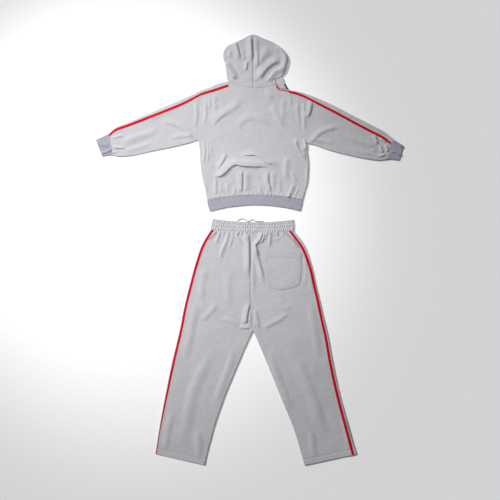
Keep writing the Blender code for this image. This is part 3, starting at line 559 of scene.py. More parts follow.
hoodie = dict(
    length=514.0,
    armpit=0.57,
    puckers=23,               # short gathers above the hem band
    rows=[
        dict(v=0.00, lx=-186, ly=219, rx=236, ry=220, bow=22),
        dict(v=0.10, lx=-194, ly=262, rx=247, ry=262, bow=20),
        dict(v=0.24, lx=-208, ly=322, rx=259, ry=320, bow=15),
        dict(v=0.40, lx=-217, ly=395, rx=262, ry=385, bow=8),
        dict(v=0.50, lx=-218, ly=439, rx=256, ry=432, bow=4),
        dict(v=0.57, lx=-224, ly=482, rx=251, ry=467, bow=2),
        dict(v=1.00, lx=-210, ly=703, rx=235, ry=691, bow=0),
    ],
    leftShoulder=[(-210, 703), (-166, 717), (-147, 728), (-118, 735), (-92, 741)],
    rightShoulder=[(118, 731), (134, 707), (172, 702), (200, 699), (235, 691)],
    frontShoulder=[(118, 731), (141, 752), (155, 728), (178, 703), (235, 691)],
    folds=[
        # the long fold across the small of the back and the one above it
        dict(at=[(-160, 320), (-128, 328), (-104, 347), (-80, 370), (-57, 379), (-30, 373), (51, 369), (98, 362)],
             rise=10.5, left=34, right=9, lean=4.5, taper=(0.16, 0.3)),
        dict(at=[(-44, 411), (-23, 417), (27, 418), (64, 394), (91, 382), (135, 375)],
             rise=6, left=24, right=7, lean=3.5, taper=(0.25, 0.25)),
        dict(at=[(98, 366), (125, 373)], rise=2, left=12, right=8),
        dict(at=[(-46, 380), (-20, 378), (20, 376), (52, 374)], rise=3, left=22, right=19),
        dict(at=[(-96, 430), (-141, 350)], rise=5, left=10, right=20, lean=-2),
        # standing folds above the hem band
        dict(at=[(-150, 322), (-150, 276), (-148, 232)], rise=4, left=14, right=9, lean=-1),
        dict(at=[(-35, 352), (-36, 303), (-37, 248)], rise=6, left=10, right=30, lean=-2.5, taper=(0.2, 0.2)),
        dict(at=[(-13, 350), (-14, 303), (-15, 250)], rise=4.5, left=28, right=9, lean=1, taper=(0.25, 0.25)),
        dict(at=[(80, 358), (80, 303), (88, 276), (92, 240)], rise=5.5, left=9, right=24, lean=-2),
        dict(at=[(104, 350), (104, 303), (108, 262)], rise=3, left=22, right=10),
        dict(at=[(-63, 282), (-66, 240)], rise=3, left=8, right=12, lean=-1),
        dict(at=[(47, 282), (47, 240)], rise=3, left=8, right=12, lean=-1),
        dict(at=[(196, 292), (180, 252), (171, 228)], rise=7, left=14, right=7, lean=3, taper=(0.3, 0.1)),
        dict(at=[(202, 278), (186, 240)], rise=3, left=7, right=7),
        dict(at=[(216, 270), (198, 236)], rise=3, left=8, right=7),
        dict(at=[(169, 424), (160, 364), (162, 300)], rise=4, left=22, right=18),
        dict(at=[(178, 346), (198, 317), (202, 288)], rise=3, left=12, right=12),
        dict(at=[(-128, 300), (-122, 250)], rise=2.2, left=12, right=12),
        dict(at=[(-96, 300), (-98, 246)], rise=1.6, left=12, right=10),
        dict(at=[(128, 320), (136, 246)], rise=2.6, left=14, right=14),
        # under the right arm and down the side
        dict(at=[(202, 492), (208, 455), (238, 407), (247, 384)], rise=8, left=18, right=7, lean=3, taper=(0.2, 0.3)),
        dict(at=[(228, 470), (240, 430), (252, 400)], rise=4, left=9, right=8),
        dict(at=[(250, 370), (254, 300), (246, 250)], rise=3, left=10, right=8),
        dict(at=[(-202, 486), (-196, 430), (-204, 372)], rise=3.5, left=9, right=12, lean=-1),
        dict(at=[(-186, 470), (-180, 420), (-186, 380)], rise=2.6, left=9, right=10),
        dict(at=[(-168, 462), (-166, 410)], rise=2, left=9, right=10),
        dict(at=[(-196, 300), (-184, 250)], rise=2.4, left=7, right=10),
        # from the neck across the shoulder blades
        dict(at=[(68, 712), (86, 682), (106, 662)], rise=4, left=20, right=9, lean=1.5),
        dict(at=[(92, 640), (119, 590), (160, 534)], rise=4.5, left=26, right=18),
        dict(at=[(-24, 674), (-79, 620), (-137, 588), (-180, 548)], rise=4.5, left=24, right=30),
        dict(at=[(-92, 612), (-132, 578), (-168, 540)], rise=2.6, left=9, right=10),
        dict(at=[(-64, 516), (-35, 559), (-6, 580), (20, 580), (64, 566), (97, 542)], rise=3.4, left=34, right=20),
        dict(at=[(150, 668), (146, 620), (152, 560)], rise=2.4, left=18, right=18),
        dict(at=[(182, 676), (178, 628)], rise=2.2, left=12, right=12),
        dict(at=[(-148, 690), (-152, 640), (-140, 600)], rise=2.6, left=16, right=16),
        dict(at=[(-196, 668), (-192, 600), (-202, 540)], rise=3, left=12, right=10),
        dict(at=[(-176, 676), (-172, 620)], rise=2.4, left=8, right=9),
        dict(at=[(214, 668), (212, 600), (222, 540)], rise=2.6, left=10, right=12),
        # drawn lines beside the armholes
        dict(at=[(270, 656), (262, 612), (247, 568)], rise=8, left=14, right=18, lean=-4, taper=(0.2, 0.4)),
        dict(at=[(241, 662), (240, 590), (243, 520)], rise=3.6, left=14, right=9, lean=1),
        dict(at=[(225, 630), (226, 580), (229, 516)], rise=-1.4, left=4, right=4, taper=(0.1, 0.1)),
        dict(at=[(236, 490), (247, 464), (246, 430)], rise=6, left=8, right=13, lean=-2),
        dict(at=[(-240, 660), (-232, 590), (-244, 530)], rise=3, left=14, right=9),
        # slow bends of the sleeves
        dict(at=[(-232, 474), (-300, 540), (-392, 574)], rise=5, left=16, right=24),
        dict(at=[(-238, 500), (-296, 500), (-352, 486)], rise=3.4, left=14, right=20),
        dict(at=[(256, 460), (320, 520), (410, 544)], rise=5, left=24, right=16),
        dict(at=[(262, 486), (330, 476), (380, 462)], rise=3.4, left=18, right=14),
        dict(at=[(-392, 528), (-500, 494), (-572, 466)], rise=4, left=26, right=22),
        dict(at=[(-420, 470), (-490, 450), (-548, 432)], rise=2.6, left=20, right=14),
        dict(at=[(418, 508), (500, 472), (566, 446)], rise=4, left=22, right=22),
        dict(at=[(430, 446), (500, 430), (560, 418)], rise=2.6, left=16, right=16),
        dict(at=[(-300, 640), (-380, 598), (-470, 560)], rise=2.4, left=16, right=22),
        dict(at=[(310, 634), (390, 596), (476, 552)], rise=2.4, left=22, right=14),
        # the cloth falls away from the small of the back to the hem band
        dict(at=[(-150, 334), (-60, 376), (60, 372), (150, 340)], rise=4, left=60, right=140),
        # crumples at the cuffs
        dict(at=[(-604, 450), (-574, 449), (-544, 446)], rise=5, left=12, right=7, lean=2),
        dict(at=[(-606, 486), (-580, 496), (-548, 502)], rise=3.5, left=10, right=8),
        dict(at=[(-604, 430), (-580, 428)], rise=3, left=8, right=7),
        dict(at=[(548, 508), (556, 484), (566, 462)], rise=6.5, left=8, right=16, lean=-2),
        dict(at=[(574, 492), (590, 482), (606, 470)], rise=5, left=12, right=8, lean=2),
        dict(at=[(574, 456), (580, 440), (586, 426)], rise=6, left=8, right=10, lean=-2, taper=(0.2, 0.2)),
        dict(at=[(598, 462), (604, 446), (608, 430)], rise=6, left=8, right=9, lean=-2, taper=(0.2, 0.2)),
        dict(at=[(562, 412), (582, 414), (602, 422)], rise=5, left=11, right=8, lean=1.5),
        dict(at=[(534, 440), (560, 430)], rise=3, left=9, right=9),
        # soft waves in the ribbing of the cuffs
        dict(at=[(-650, 424), (-626, 430), (-596, 444)], rise=4.5, left=12, right=8, taper=(0.05, 0.3)),
        dict(at=[(-668, 470), (-640, 460), (-612, 462)], rise=3.5, left=16, right=12, taper=(0.05, 0.3)),
        dict(at=[(624, 484), (646, 472), (672, 452)], rise=4.5, left=14, right=10, taper=(0.3, 0.05)),
        dict(at=[(616, 428), (640, 430), (664, 416)], rise=4.5, left=12, right=9, taper=(0.3, 0.05)),
    ],
)
shoulderTape = [
    dict(v=0.0, off=14.5, wide=11.5),
    dict(v=0.098, off=14.5, wide=11.5),
    dict(v=0.142, off=19, wide=11.5),
    dict(v=0.2, off=16.8, wide=11.5),
    dict(v=0.27, off=13.6, wide=11),
    dict(v=0.5, off=10, wide=9),
    dict(v=0.735, off=3.4, wide=13),
    dict(v=0.765, off=3.4, wide=12),
    dict(v=0.79, off=3.0, wide=5),
    dict(v=0.85, off=3.0, wide=4.4),
    dict(v=0.885, off=3.6, wide=10),
    dict(v=0.94, off=5.4, wide=11.5),
    dict(v=1.0, off=10, wide=11.5),
]
neckStart = (neck["left"][0] - armLeft["top"][0]) / (armRight["top"][0] - armLeft["top"][0])
neckStop = (neck["right"][0] - armLeft["top"][0]) / (armRight["top"][0] - armLeft["top"][0])


def bandPuckers(x, y):
    # the body draws in where it meets the hem band
    (lx, ly), (rx, ry), bow = bandSeam["left"], bandSeam["right"], bandSeam["bow"]
    s = (x - lx) / (rx - lx)
    above = y - (ly + (ry - ly) * s + 4 * bow * s * (1 - s))
    wave = 0.5 + 0.5 * np.cos(2 * np.pi * hoodie["puckers"] * (s + 0.012 * np.sin(17 * s)))
    uneven = 0.6 + 0.4 * softNoise(s * 1000, y * 0, 62, 5)
    reach = 16 + 16 * np.abs(softNoise(s * 1000, y * 0, 47, 8))
    inside = smooth(np.minimum(s, 1 - s) / 0.05) * (np.abs(s - 0.5) < 0.5)
    return 3.2 * uneven * wave * (1 - smooth(above / reach)) * inside


def hoodieHeight(x, y):
    rise, pushX, pushY = addFolds(hoodie["folds"], x, y)
    rise = np.where(rise > 8, 8 + 5 * np.tanh((rise - 8) / 5), rise)      # where folds meet they don't pile up
    rise = rise + bandPuckers(x, y) + 0.9 * softNoise(x, y, 46, 11) + 0.45 * softNoise(x, y, 19, 12)
    return cloth["layer"] + 0.8 + rise, pushX, pushY


def bodyPanel(shoulder):
    def edge(x, y, arm):
        below = rail(hoodie["rows"], x, y)

        def at(v):
            above = seamPoint(arm, np.clip((v - hoodie["armpit"]) / (1 - hoodie["armpit"]), 0, 1))
            return np.where((v <= hoodie["armpit"])[..., None], below(v), above)
        return at

    edgeA, edgeB = edge("lx", "ly", armLeft), edge("rx", "ry", armRight)
    one = np.array(1.0)
    endA, endB = edgeA(one), edgeB(one)

    def top(s):
        inNeck = neckPoint(np.clip((s - neckStart) / (neckStop - neckStart), 0, 1))
        leftSide = alongRoute(hoodie["leftShoulder"], np.clip(s / neckStart, 0, 1))
        rightSide = alongRoute(shoulder, np.clip((s - neckStop) / (1 - neckStop), 0, 1))
        point = np.where((s < neckStart)[..., None], leftSide, inNeck)
        return np.where((s > neckStop)[..., None], rightSide, point)

    def lay(s, v):
        line = mix(edgeA(v), edgeB(v), s)
        line[..., 1] += 4 * tableValue(hoodie["rows"], "bow", v) * s * (1 - s)
        return line + (top(s) - mix(endA, endB, s)) * smooth((v - 0.52) / 0.48)[..., None]

    sewnSide = lambda v: (np.asarray(v) > hoodie["armpit"] + 0.001).astype(float)
    sewnNeck = lambda s: ((s >= neckStart - 0.002) & (s <= neckStop + 0.002)).astype(float)
    return dict(edgeA=edgeA, edgeB=edgeB, lay=lay, length=hoodie["length"], height=hoodieHeight,
                wall=cloth["fleece"], sewnA=sewnSide, sewnB=sewnSide, sewnEnd=sewnNeck)


def makeBody():
    back = bodyPanel(hoodie["rightShoulder"])
    cell, pit = cloth["cell"], hoodie["armpit"]
    count = round(450 / cell)
    over = flatColumns(1, 0, 1, count) + [(1, "flat", neckStart), (1, "flat", neckStop)]
    columns = turned(1, "a") + sorted(over, key=lambda c: c[2]) + turned(1, "b")[::-1]
    tape = ("tape", np.linspace(0, 1, 5))
    rows = [shareRows(round(480 / cell), pit, pit + 0.004, stop=0.92), tape, endRows]
    makeShell("hoodieBack", "hoodie_back", back, columns, rows, "fleece")
    first = columns.index((1, "flat", neckStart))
    last = columns.index((1, "flat", neckStop))
    low, high = cloth["seam"], cloth["seam"] + cloth["tape"]
    makeShell("leftShoulderTape", "stripe_shoulder_left", back, columns[:first + 1], [tape], "red_tape", low, high)
    makeShell("rightShoulderTape", "stripe_shoulder_right", back, columns[last:], [tape], "red_tape", low, high)
    front = bodyPanel(hoodie["frontShoulder"])
    count = round(450 / cloth["underCell"])
    under = flatColumns(-1, 0, 1, count) + [(-1, "flat", neckStart), (-1, "flat", neckStop)]
    columns = turned(-1, "a") + sorted(under, key=lambda c: c[2]) + turned(-1, "b")[::-1]
    rows = [shareRows(round(500 / cloth["underCell"]), pit, pit + 0.004, stop=0.96), endRows]
    makeShell("hoodieFront", "hoodie_front", front, columns, rows, "fleece")


# Front of the right shoulder, rolled over the fold beside the hood

frontShoulder = dict(
    rows=[
        dict(v=0.0, rx=172, ry=706, lx=137, ly=710),
        dict(v=0.5, rx=159, ry=728, lx=121.5, ly=731),
        dict(v=1.0, rx=149, ry=757, lx=119.5, ly=748),
    ],
    length=42.0,
    navyTo=7.8,
    navyStop=0.5,
)


def makeFrontShoulder():
    edgeA, edgeB = rail(frontShoulder["rows"], "rx", "ry"), rail(frontShoulder["rows"], "lx", "ly")
    piece = dict(edgeA=edgeA, edgeB=edgeB, lay=lambda s, v: mix(edgeA(v), edgeB(v), s),
                 length=frontShoulder["length"], wall=cloth["fleece"],
                 height=lambda x, y: (cloth["layer"] + 0.5 * softNoise(x, y, 14, 31), none(x), none(x)))
    tape = [(1, "a mm", lambda v, k=k: radius + k / 3 * (frontShoulder["navyTo"] - radius) + 0 * v)
            for k in range(4)]
    rest = [(1, "a mm", lambda v, k=k: frontShoulder["navyTo"] + k / 5 * (
        np.hypot(*(edgeB(v) - edgeA(v)).T) - radius - frontShoulder["navyTo"])) for k in range(1, 5)]
    columns = turned(1, "a") + tape[1:] + rest + turned(1, "b")[::-1]
    rows = shareRows(9, stop=0.72)
    makeShell("frontShoulder", "front_shoulder_right", piece, columns, [rows, endRows], "fleece")
    short = ("share", rows[1][rows[1] < frontShoulder["navyStop"]])
    makeShell("navyTape", "stripe_front_right", piece, turned(1, "a", 2) + tape[1:], [short], "navy_tape",
              cloth["seam"], cloth["seam"] + cloth["tape"])


# Sleeves and cuffs: each one piece folded round, edge a under the arm and edge b on top

sleeves = dict(
    left=dict(
        arm=armLeft, length=420.0,
        rows=[
            dict(v=0.00, lx=-224, ly=482, tx=-210, ty=703),
            dict(v=0.14, lx=-262, ly=469, tx=-275, ty=671),
            dict(v=0.36, lx=-340, ly=450, tx=-368, ty=632),
            dict(v=0.58, lx=-424, ly=433, tx=-456, ty=594),
            dict(v=0.78, lx=-507, ly=415, tx=-531, ty=562),
            dict(v=0.92, lx=-569, ly=409, tx=-588, ty=538),
            dict(v=1.00, lx=-600, ly=415, tx=-617, ty=512),
        ],
        cuff=[
            dict(v=0.00, lx=-600, ly=415, tx=-617, ty=512),
            dict(v=0.30, lx=-613, ly=416, tx=-636, ty=502),
            dict(v=1.00, lx=-646, ly=410, tx=-675, ty=484),
        ],
        tape=[
            dict(v=0.0, off=14.5, wide=11.5),
            dict(v=0.3, off=15.5, wide=11.5),
            dict(v=0.55, off=12, wide=11.5),
            dict(v=0.85, off=8, wide=11),
            dict(v=1.0, off=4, wide=10),
        ],
    ),
    right=dict(
        arm=armRight, length=420.0,
        rows=[
            dict(v=0.00, lx=251, ly=467, tx=235, ty=691),
            dict(v=0.14, lx=283, ly=461, tx=300, ty=667),
            dict(v=0.36, lx=352, ly=437, tx=378, ty=631),
            dict(v=0.58, lx=434, ly=416, tx=465, ty=586),
            dict(v=0.78, lx=514, ly=400, tx=540, ty=548),
            dict(v=0.92, lx=571, ly=393, tx=596, ty=518),
            dict(v=1.00, lx=606, ly=397, tx=628, ty=492),
        ],
        cuff=[
            dict(v=0.00, lx=606, ly=397, tx=628, ty=492),
            dict(v=0.30, lx=619, ly=398, tx=643, ty=480),
            dict(v=1.00, lx=657, ly=394, tx=675, ty=460),
        ],
        tape=[
            dict(v=0.0, off=10, wide=11.5),
            dict(v=0.15, off=18, wide=11.5),
            dict(v=0.5, off=21, wide=11.5),
            dict(v=0.8, off=23, wide=11),
            dict(v=1.0, off=21, wide=10),
        ],
    ),
)
cuffs = dict(length=66.0, ribs=11, rise=0.8, perRib=8)


def ribRelief(count, rise):
    # a main rib with a finer one on it
    def relief(s, v):
        main = 0.5 - 0.5 * np.cos(2 * np.pi * count * s)
        fine = 0.5 - 0.5 * np.cos(6 * np.pi * count * s)
        return rise * (0.75 * main + 0.35 * fine)
    return relief


def sleevePiece(rows, length, wall, arm=None, **more):
    edgeA, edgeB = rail(rows, "lx", "ly"), rail(rows, "tx", "ty")

    def lay(s, v):
        point = mix(edgeA(v), edgeB(v), s)
        if arm:
            straight = mix(np.array(arm["low"], float), np.array(arm["top"], float), s)
            point = point + (seamPoint(arm, s) - straight) * (1 - smooth(v / 0.3))[..., None]
        return point
    return dict(edgeA=edgeA, edgeB=edgeB, lay=lay, length=length, wall=wall, height=hoodieHeight, **more)


def tapeColumns(piece, table, edge, count=4):
    # columns across a stripe tape, measured from edge a or edge b
    def place(k):
        def at(v):
            back = tableValue(table, "off", v) + k / count * tableValue(table, "wide", v)
            if edge == "a":
                return back
            return np.hypot(*(piece["edgeB"](v) - piece["edgeA"](v)).T) - back
        return at
    order = range(count + 1) if edge == "a" else range(count, -1, -1)
    return [(1, "a mm", place(k)) for k in order]


def makeSleeves():
    for side, sleeve in sleeves.items():
        piece = sleevePiece(sleeve["rows"], sleeve["length"], cloth["fleece"], sleeve["arm"])
        tape = tapeColumns(piece, sleeve["tape"], "b")
        count = round(150 / cloth["cell"])
        shown = flatColumns(1, 0, 0.74, count)
        step = lambda k: (lambda v: (shown[-1][2] * (1 - k / 4) * widthOf(piece, v) + k / 4 * tape[0][2](v)))
        between = [(1, "a mm", step(k)) for k in range(1, 4)]
        columns = turned(1, "a") + shown + between + tape + turned(1, "b")[::-1]
        columns += turned(-1, "b", 1) + flatColumns(-1, 1, 0, round(200 / cloth["underCell"]))
        columns += turned(-1, "a")[::-1]
        rows = [shareRows(round(sleeve["length"] / cloth["cell"]))]
        makeShell(side + "Sleeve", "sleeve_" + side, piece, columns, rows, "fleece")
        makeShell(side + "SleeveTape", "stripe_sleeve_" + side, piece, tape, rows, "red_tape",
                  cloth["seam"], cloth["seam"] + cloth["tape"])
        cuff = sleevePiece(sleeve["cuff"], cuffs["length"], cloth["rib"],
                           relief=ribRelief(cuffs["ribs"], cuffs["rise"]))
        columns = roundColumns(cuffs["perRib"] * cuffs["ribs"], 12)
        makeShell(side + "Cuff", "cuff_" + side, cuff, columns, [shareRows(20)], "rib")


def widthOf(piece, v):
    return np.hypot(*(piece["edgeB"](v) - piece["edgeA"](v)).T)


# Hem band

hemBand = dict(
    length=48.0, ribs=56, rise=0.9, perRib=8,
    rows=[
        dict(v=0.0, lx=-173, ly=169, rx=224, ry=171, bow=27),
        dict(v=0.5, lx=-182, ly=194, rx=232, ry=195, bow=25),
        dict(v=1.0, lx=-186, ly=219, rx=236, ry=220, bow=22),
    ],
)


def bowedLay(edgeA, edgeB, rows):
    def lay(s, v):
        point = mix(edgeA(v), edgeB(v), s)
        point[..., 1] += 4 * tableValue(rows, "bow", v) * s * (1 - s)
        return point
    return lay


def makeHemBand():
    edgeA, edgeB = rail(hemBand["rows"], "lx", "ly"), rail(hemBand["rows"], "rx", "ry")
    height = lambda x, y: (cloth["layer"] + 0.7 * softNoise(x, y, 34, 21), none(x), none(x))
    piece = dict(edgeA=edgeA, edgeB=edgeB, lay=bowedLay(edgeA, edgeB, hemBand["rows"]),
                 length=hemBand["length"], wall=cloth["rib"], height=height,
                 relief=ribRelief(hemBand["ribs"], hemBand["rise"]))
    makeShell("hemBand", "hem_band", piece, roundColumns(hemBand["perRib"] * hemBand["ribs"], 40),
              [shareRows(14)], "rib")


# Hood: two halves joined on the centre seam, turned under at the sides to the face opening

hood = dict(
    length=230.0,
    opening=0.36,
    rows=[
        dict(v=0.00, lx=-92, ly=741, rx=118, ry=731, bow=-22),
        dict(v=0.07, lx=-98, ly=752, rx=116, ry=749, bow=-18),
        dict(v=0.17, lx=-101, ly=774, rx=143, ry=763, bow=-13),
        dict(v=0.28, lx=-104, ly=797, rx=158, ry=786, bow=-8),
        dict(v=0.42, lx=-109, ly=822, rx=163, ry=812, bow=-3),
        dict(v=0.56, lx=-115, ly=846, rx=169, ry=840, bow=0),
        dict(v=0.68, lx=-114, ly=868, rx=160, ry=864, bow=6),
        dict(v=0.80, lx=-98, ly=894, rx=136, ry=892, bow=13),
        dict(v=0.89, lx=-66, ly=910, rx=100, ry=914, bow=16),
        dict(v=0.95, lx=-36, ly=922, rx=71, ry=925, bow=13),
        dict(v=1.00, lx=-8, ly=938, rx=42, ry=938, bow=8),
    ],
    folds=[
        # the deep pleat at the crown: two ridges and the trough between them
        dict(at=[(4, 936), (5, 890), (8, 850), (12, 816)], rise=9, left=8, right=24, lean=-4, taper=(0.1, 0.4)),
        dict(at=[(29, 934), (28, 890), (28, 850), (28, 810)], rise=5, left=20, right=8, lean=1, taper=(0.15, 0.4)),
        dict(at=[(24, 926), (20, 884)], rise=2.6, left=4, right=4),
        dict(at=[(-62, 914), (-50, 868), (-40, 828)], rise=8, left=8, right=26, lean=-3, taper=(0.15, 0.35)),
        dict(at=[(-36, 880), (-26, 830)], rise=2.6, left=18, right=8),
        dict(at=[(-8, 836), (-18, 782)], rise=5, left=8, right=14, lean=-2),
        dict(at=[(36, 882), (35, 840), (32, 796)], rise=5, left=8, right=9, lean=-2),
        dict(at=[(92, 890), (54, 842), (34, 792)], rise=7, left=30, right=30),
        dict(at=[(142, 836), (92, 816), (54, 776), (44, 744)], rise=9, left=16, right=30, lean=-3.5,
             taper=(0.25, 0.2)),
        dict(at=[(150, 806), (116, 785), (84, 750), (76, 734)], rise=6, left=24, right=9, lean=1,
             taper=(0.2, 0.2)),
        dict(at=[(-108, 826), (-86, 792), (-58, 746)], rise=10, left=24, right=14, lean=2, taper=(0.2, 0.2)),
        dict(at=[(-20, 772), (18, 748), (50, 754)], rise=2.5, left=16, right=12),
        dict(at=[(-84, 880), (-90, 840)], rise=3, left=18, right=14),
        # the thick right edge, which shades the floor beside it
        dict(at=[(112, 906), (146, 876), (158, 838), (150, 800), (132, 772)], rise=8, left=24, right=20,
             taper=(0.2, 0.15)),
        dict(at=[(92, 760), (112, 748)], rise=3, left=9, right=9),
    ],
)


def hoodHeight(x, y):
    rise, pushX, pushY = addFolds(hood["folds"], x, y)
    away = np.abs(x - neck["middle"])
    groove = -1.8 * np.exp(-(away / 2.6) ** 2)      # the sewn centre seam
    rise = rise + groove + 0.9 * softNoise(x, y, 40, 41) + 0.4 * softNoise(x, y, 17, 42)
    return cloth["layer"] + 1.6 + rise, pushX, pushY


def makeHood():
    edgeA, edgeB = rail(hood["rows"], "lx", "ly"), rail(hood["rows"], "rx", "ry")

    def lay(s, v):
        a, b = edgeA(v), edgeB(v)
        point = mix(a, b, s)
        point[..., 0] += 4 * s * (1 - s) * (neck["middle"] - (a[..., 0] + b[..., 0]) / 2)
        point[..., 1] += 4 * tableValue(hood["rows"], "bow", v) * s * (1 - s)
        return point

    piece = dict(edgeA=edgeA, edgeB=edgeB, lay=lay, length=hood["length"], height=hoodHeight,
                 wall=cloth["fleece"])
    rows = [shareRows(round(225 / cloth["cell"]), stop=0.97), endRows]
    count = round(130 / cloth["cell"])
    for side, edge, stop in (("left", "a", hood["opening"]), ("right", "b", 1 - hood["opening"])):
        outer = 0.0 if edge == "a" else 1.0
        nudge = -0.0008 if edge == "a" else 0.0008
        columns = [(1, "flat", 0.5 + nudge)] + flatColumns(1, 0.5, outer, count) + turned(1, edge)[::-1]
        columns += turned(-1, edge, 1) + flatColumns(-1, outer, stop, 10) + [(-1, "flat", stop)]
        makeShell(side + "Hood", "hood_" + side, piece, columns, rows, "fleece")


# Sweatpants

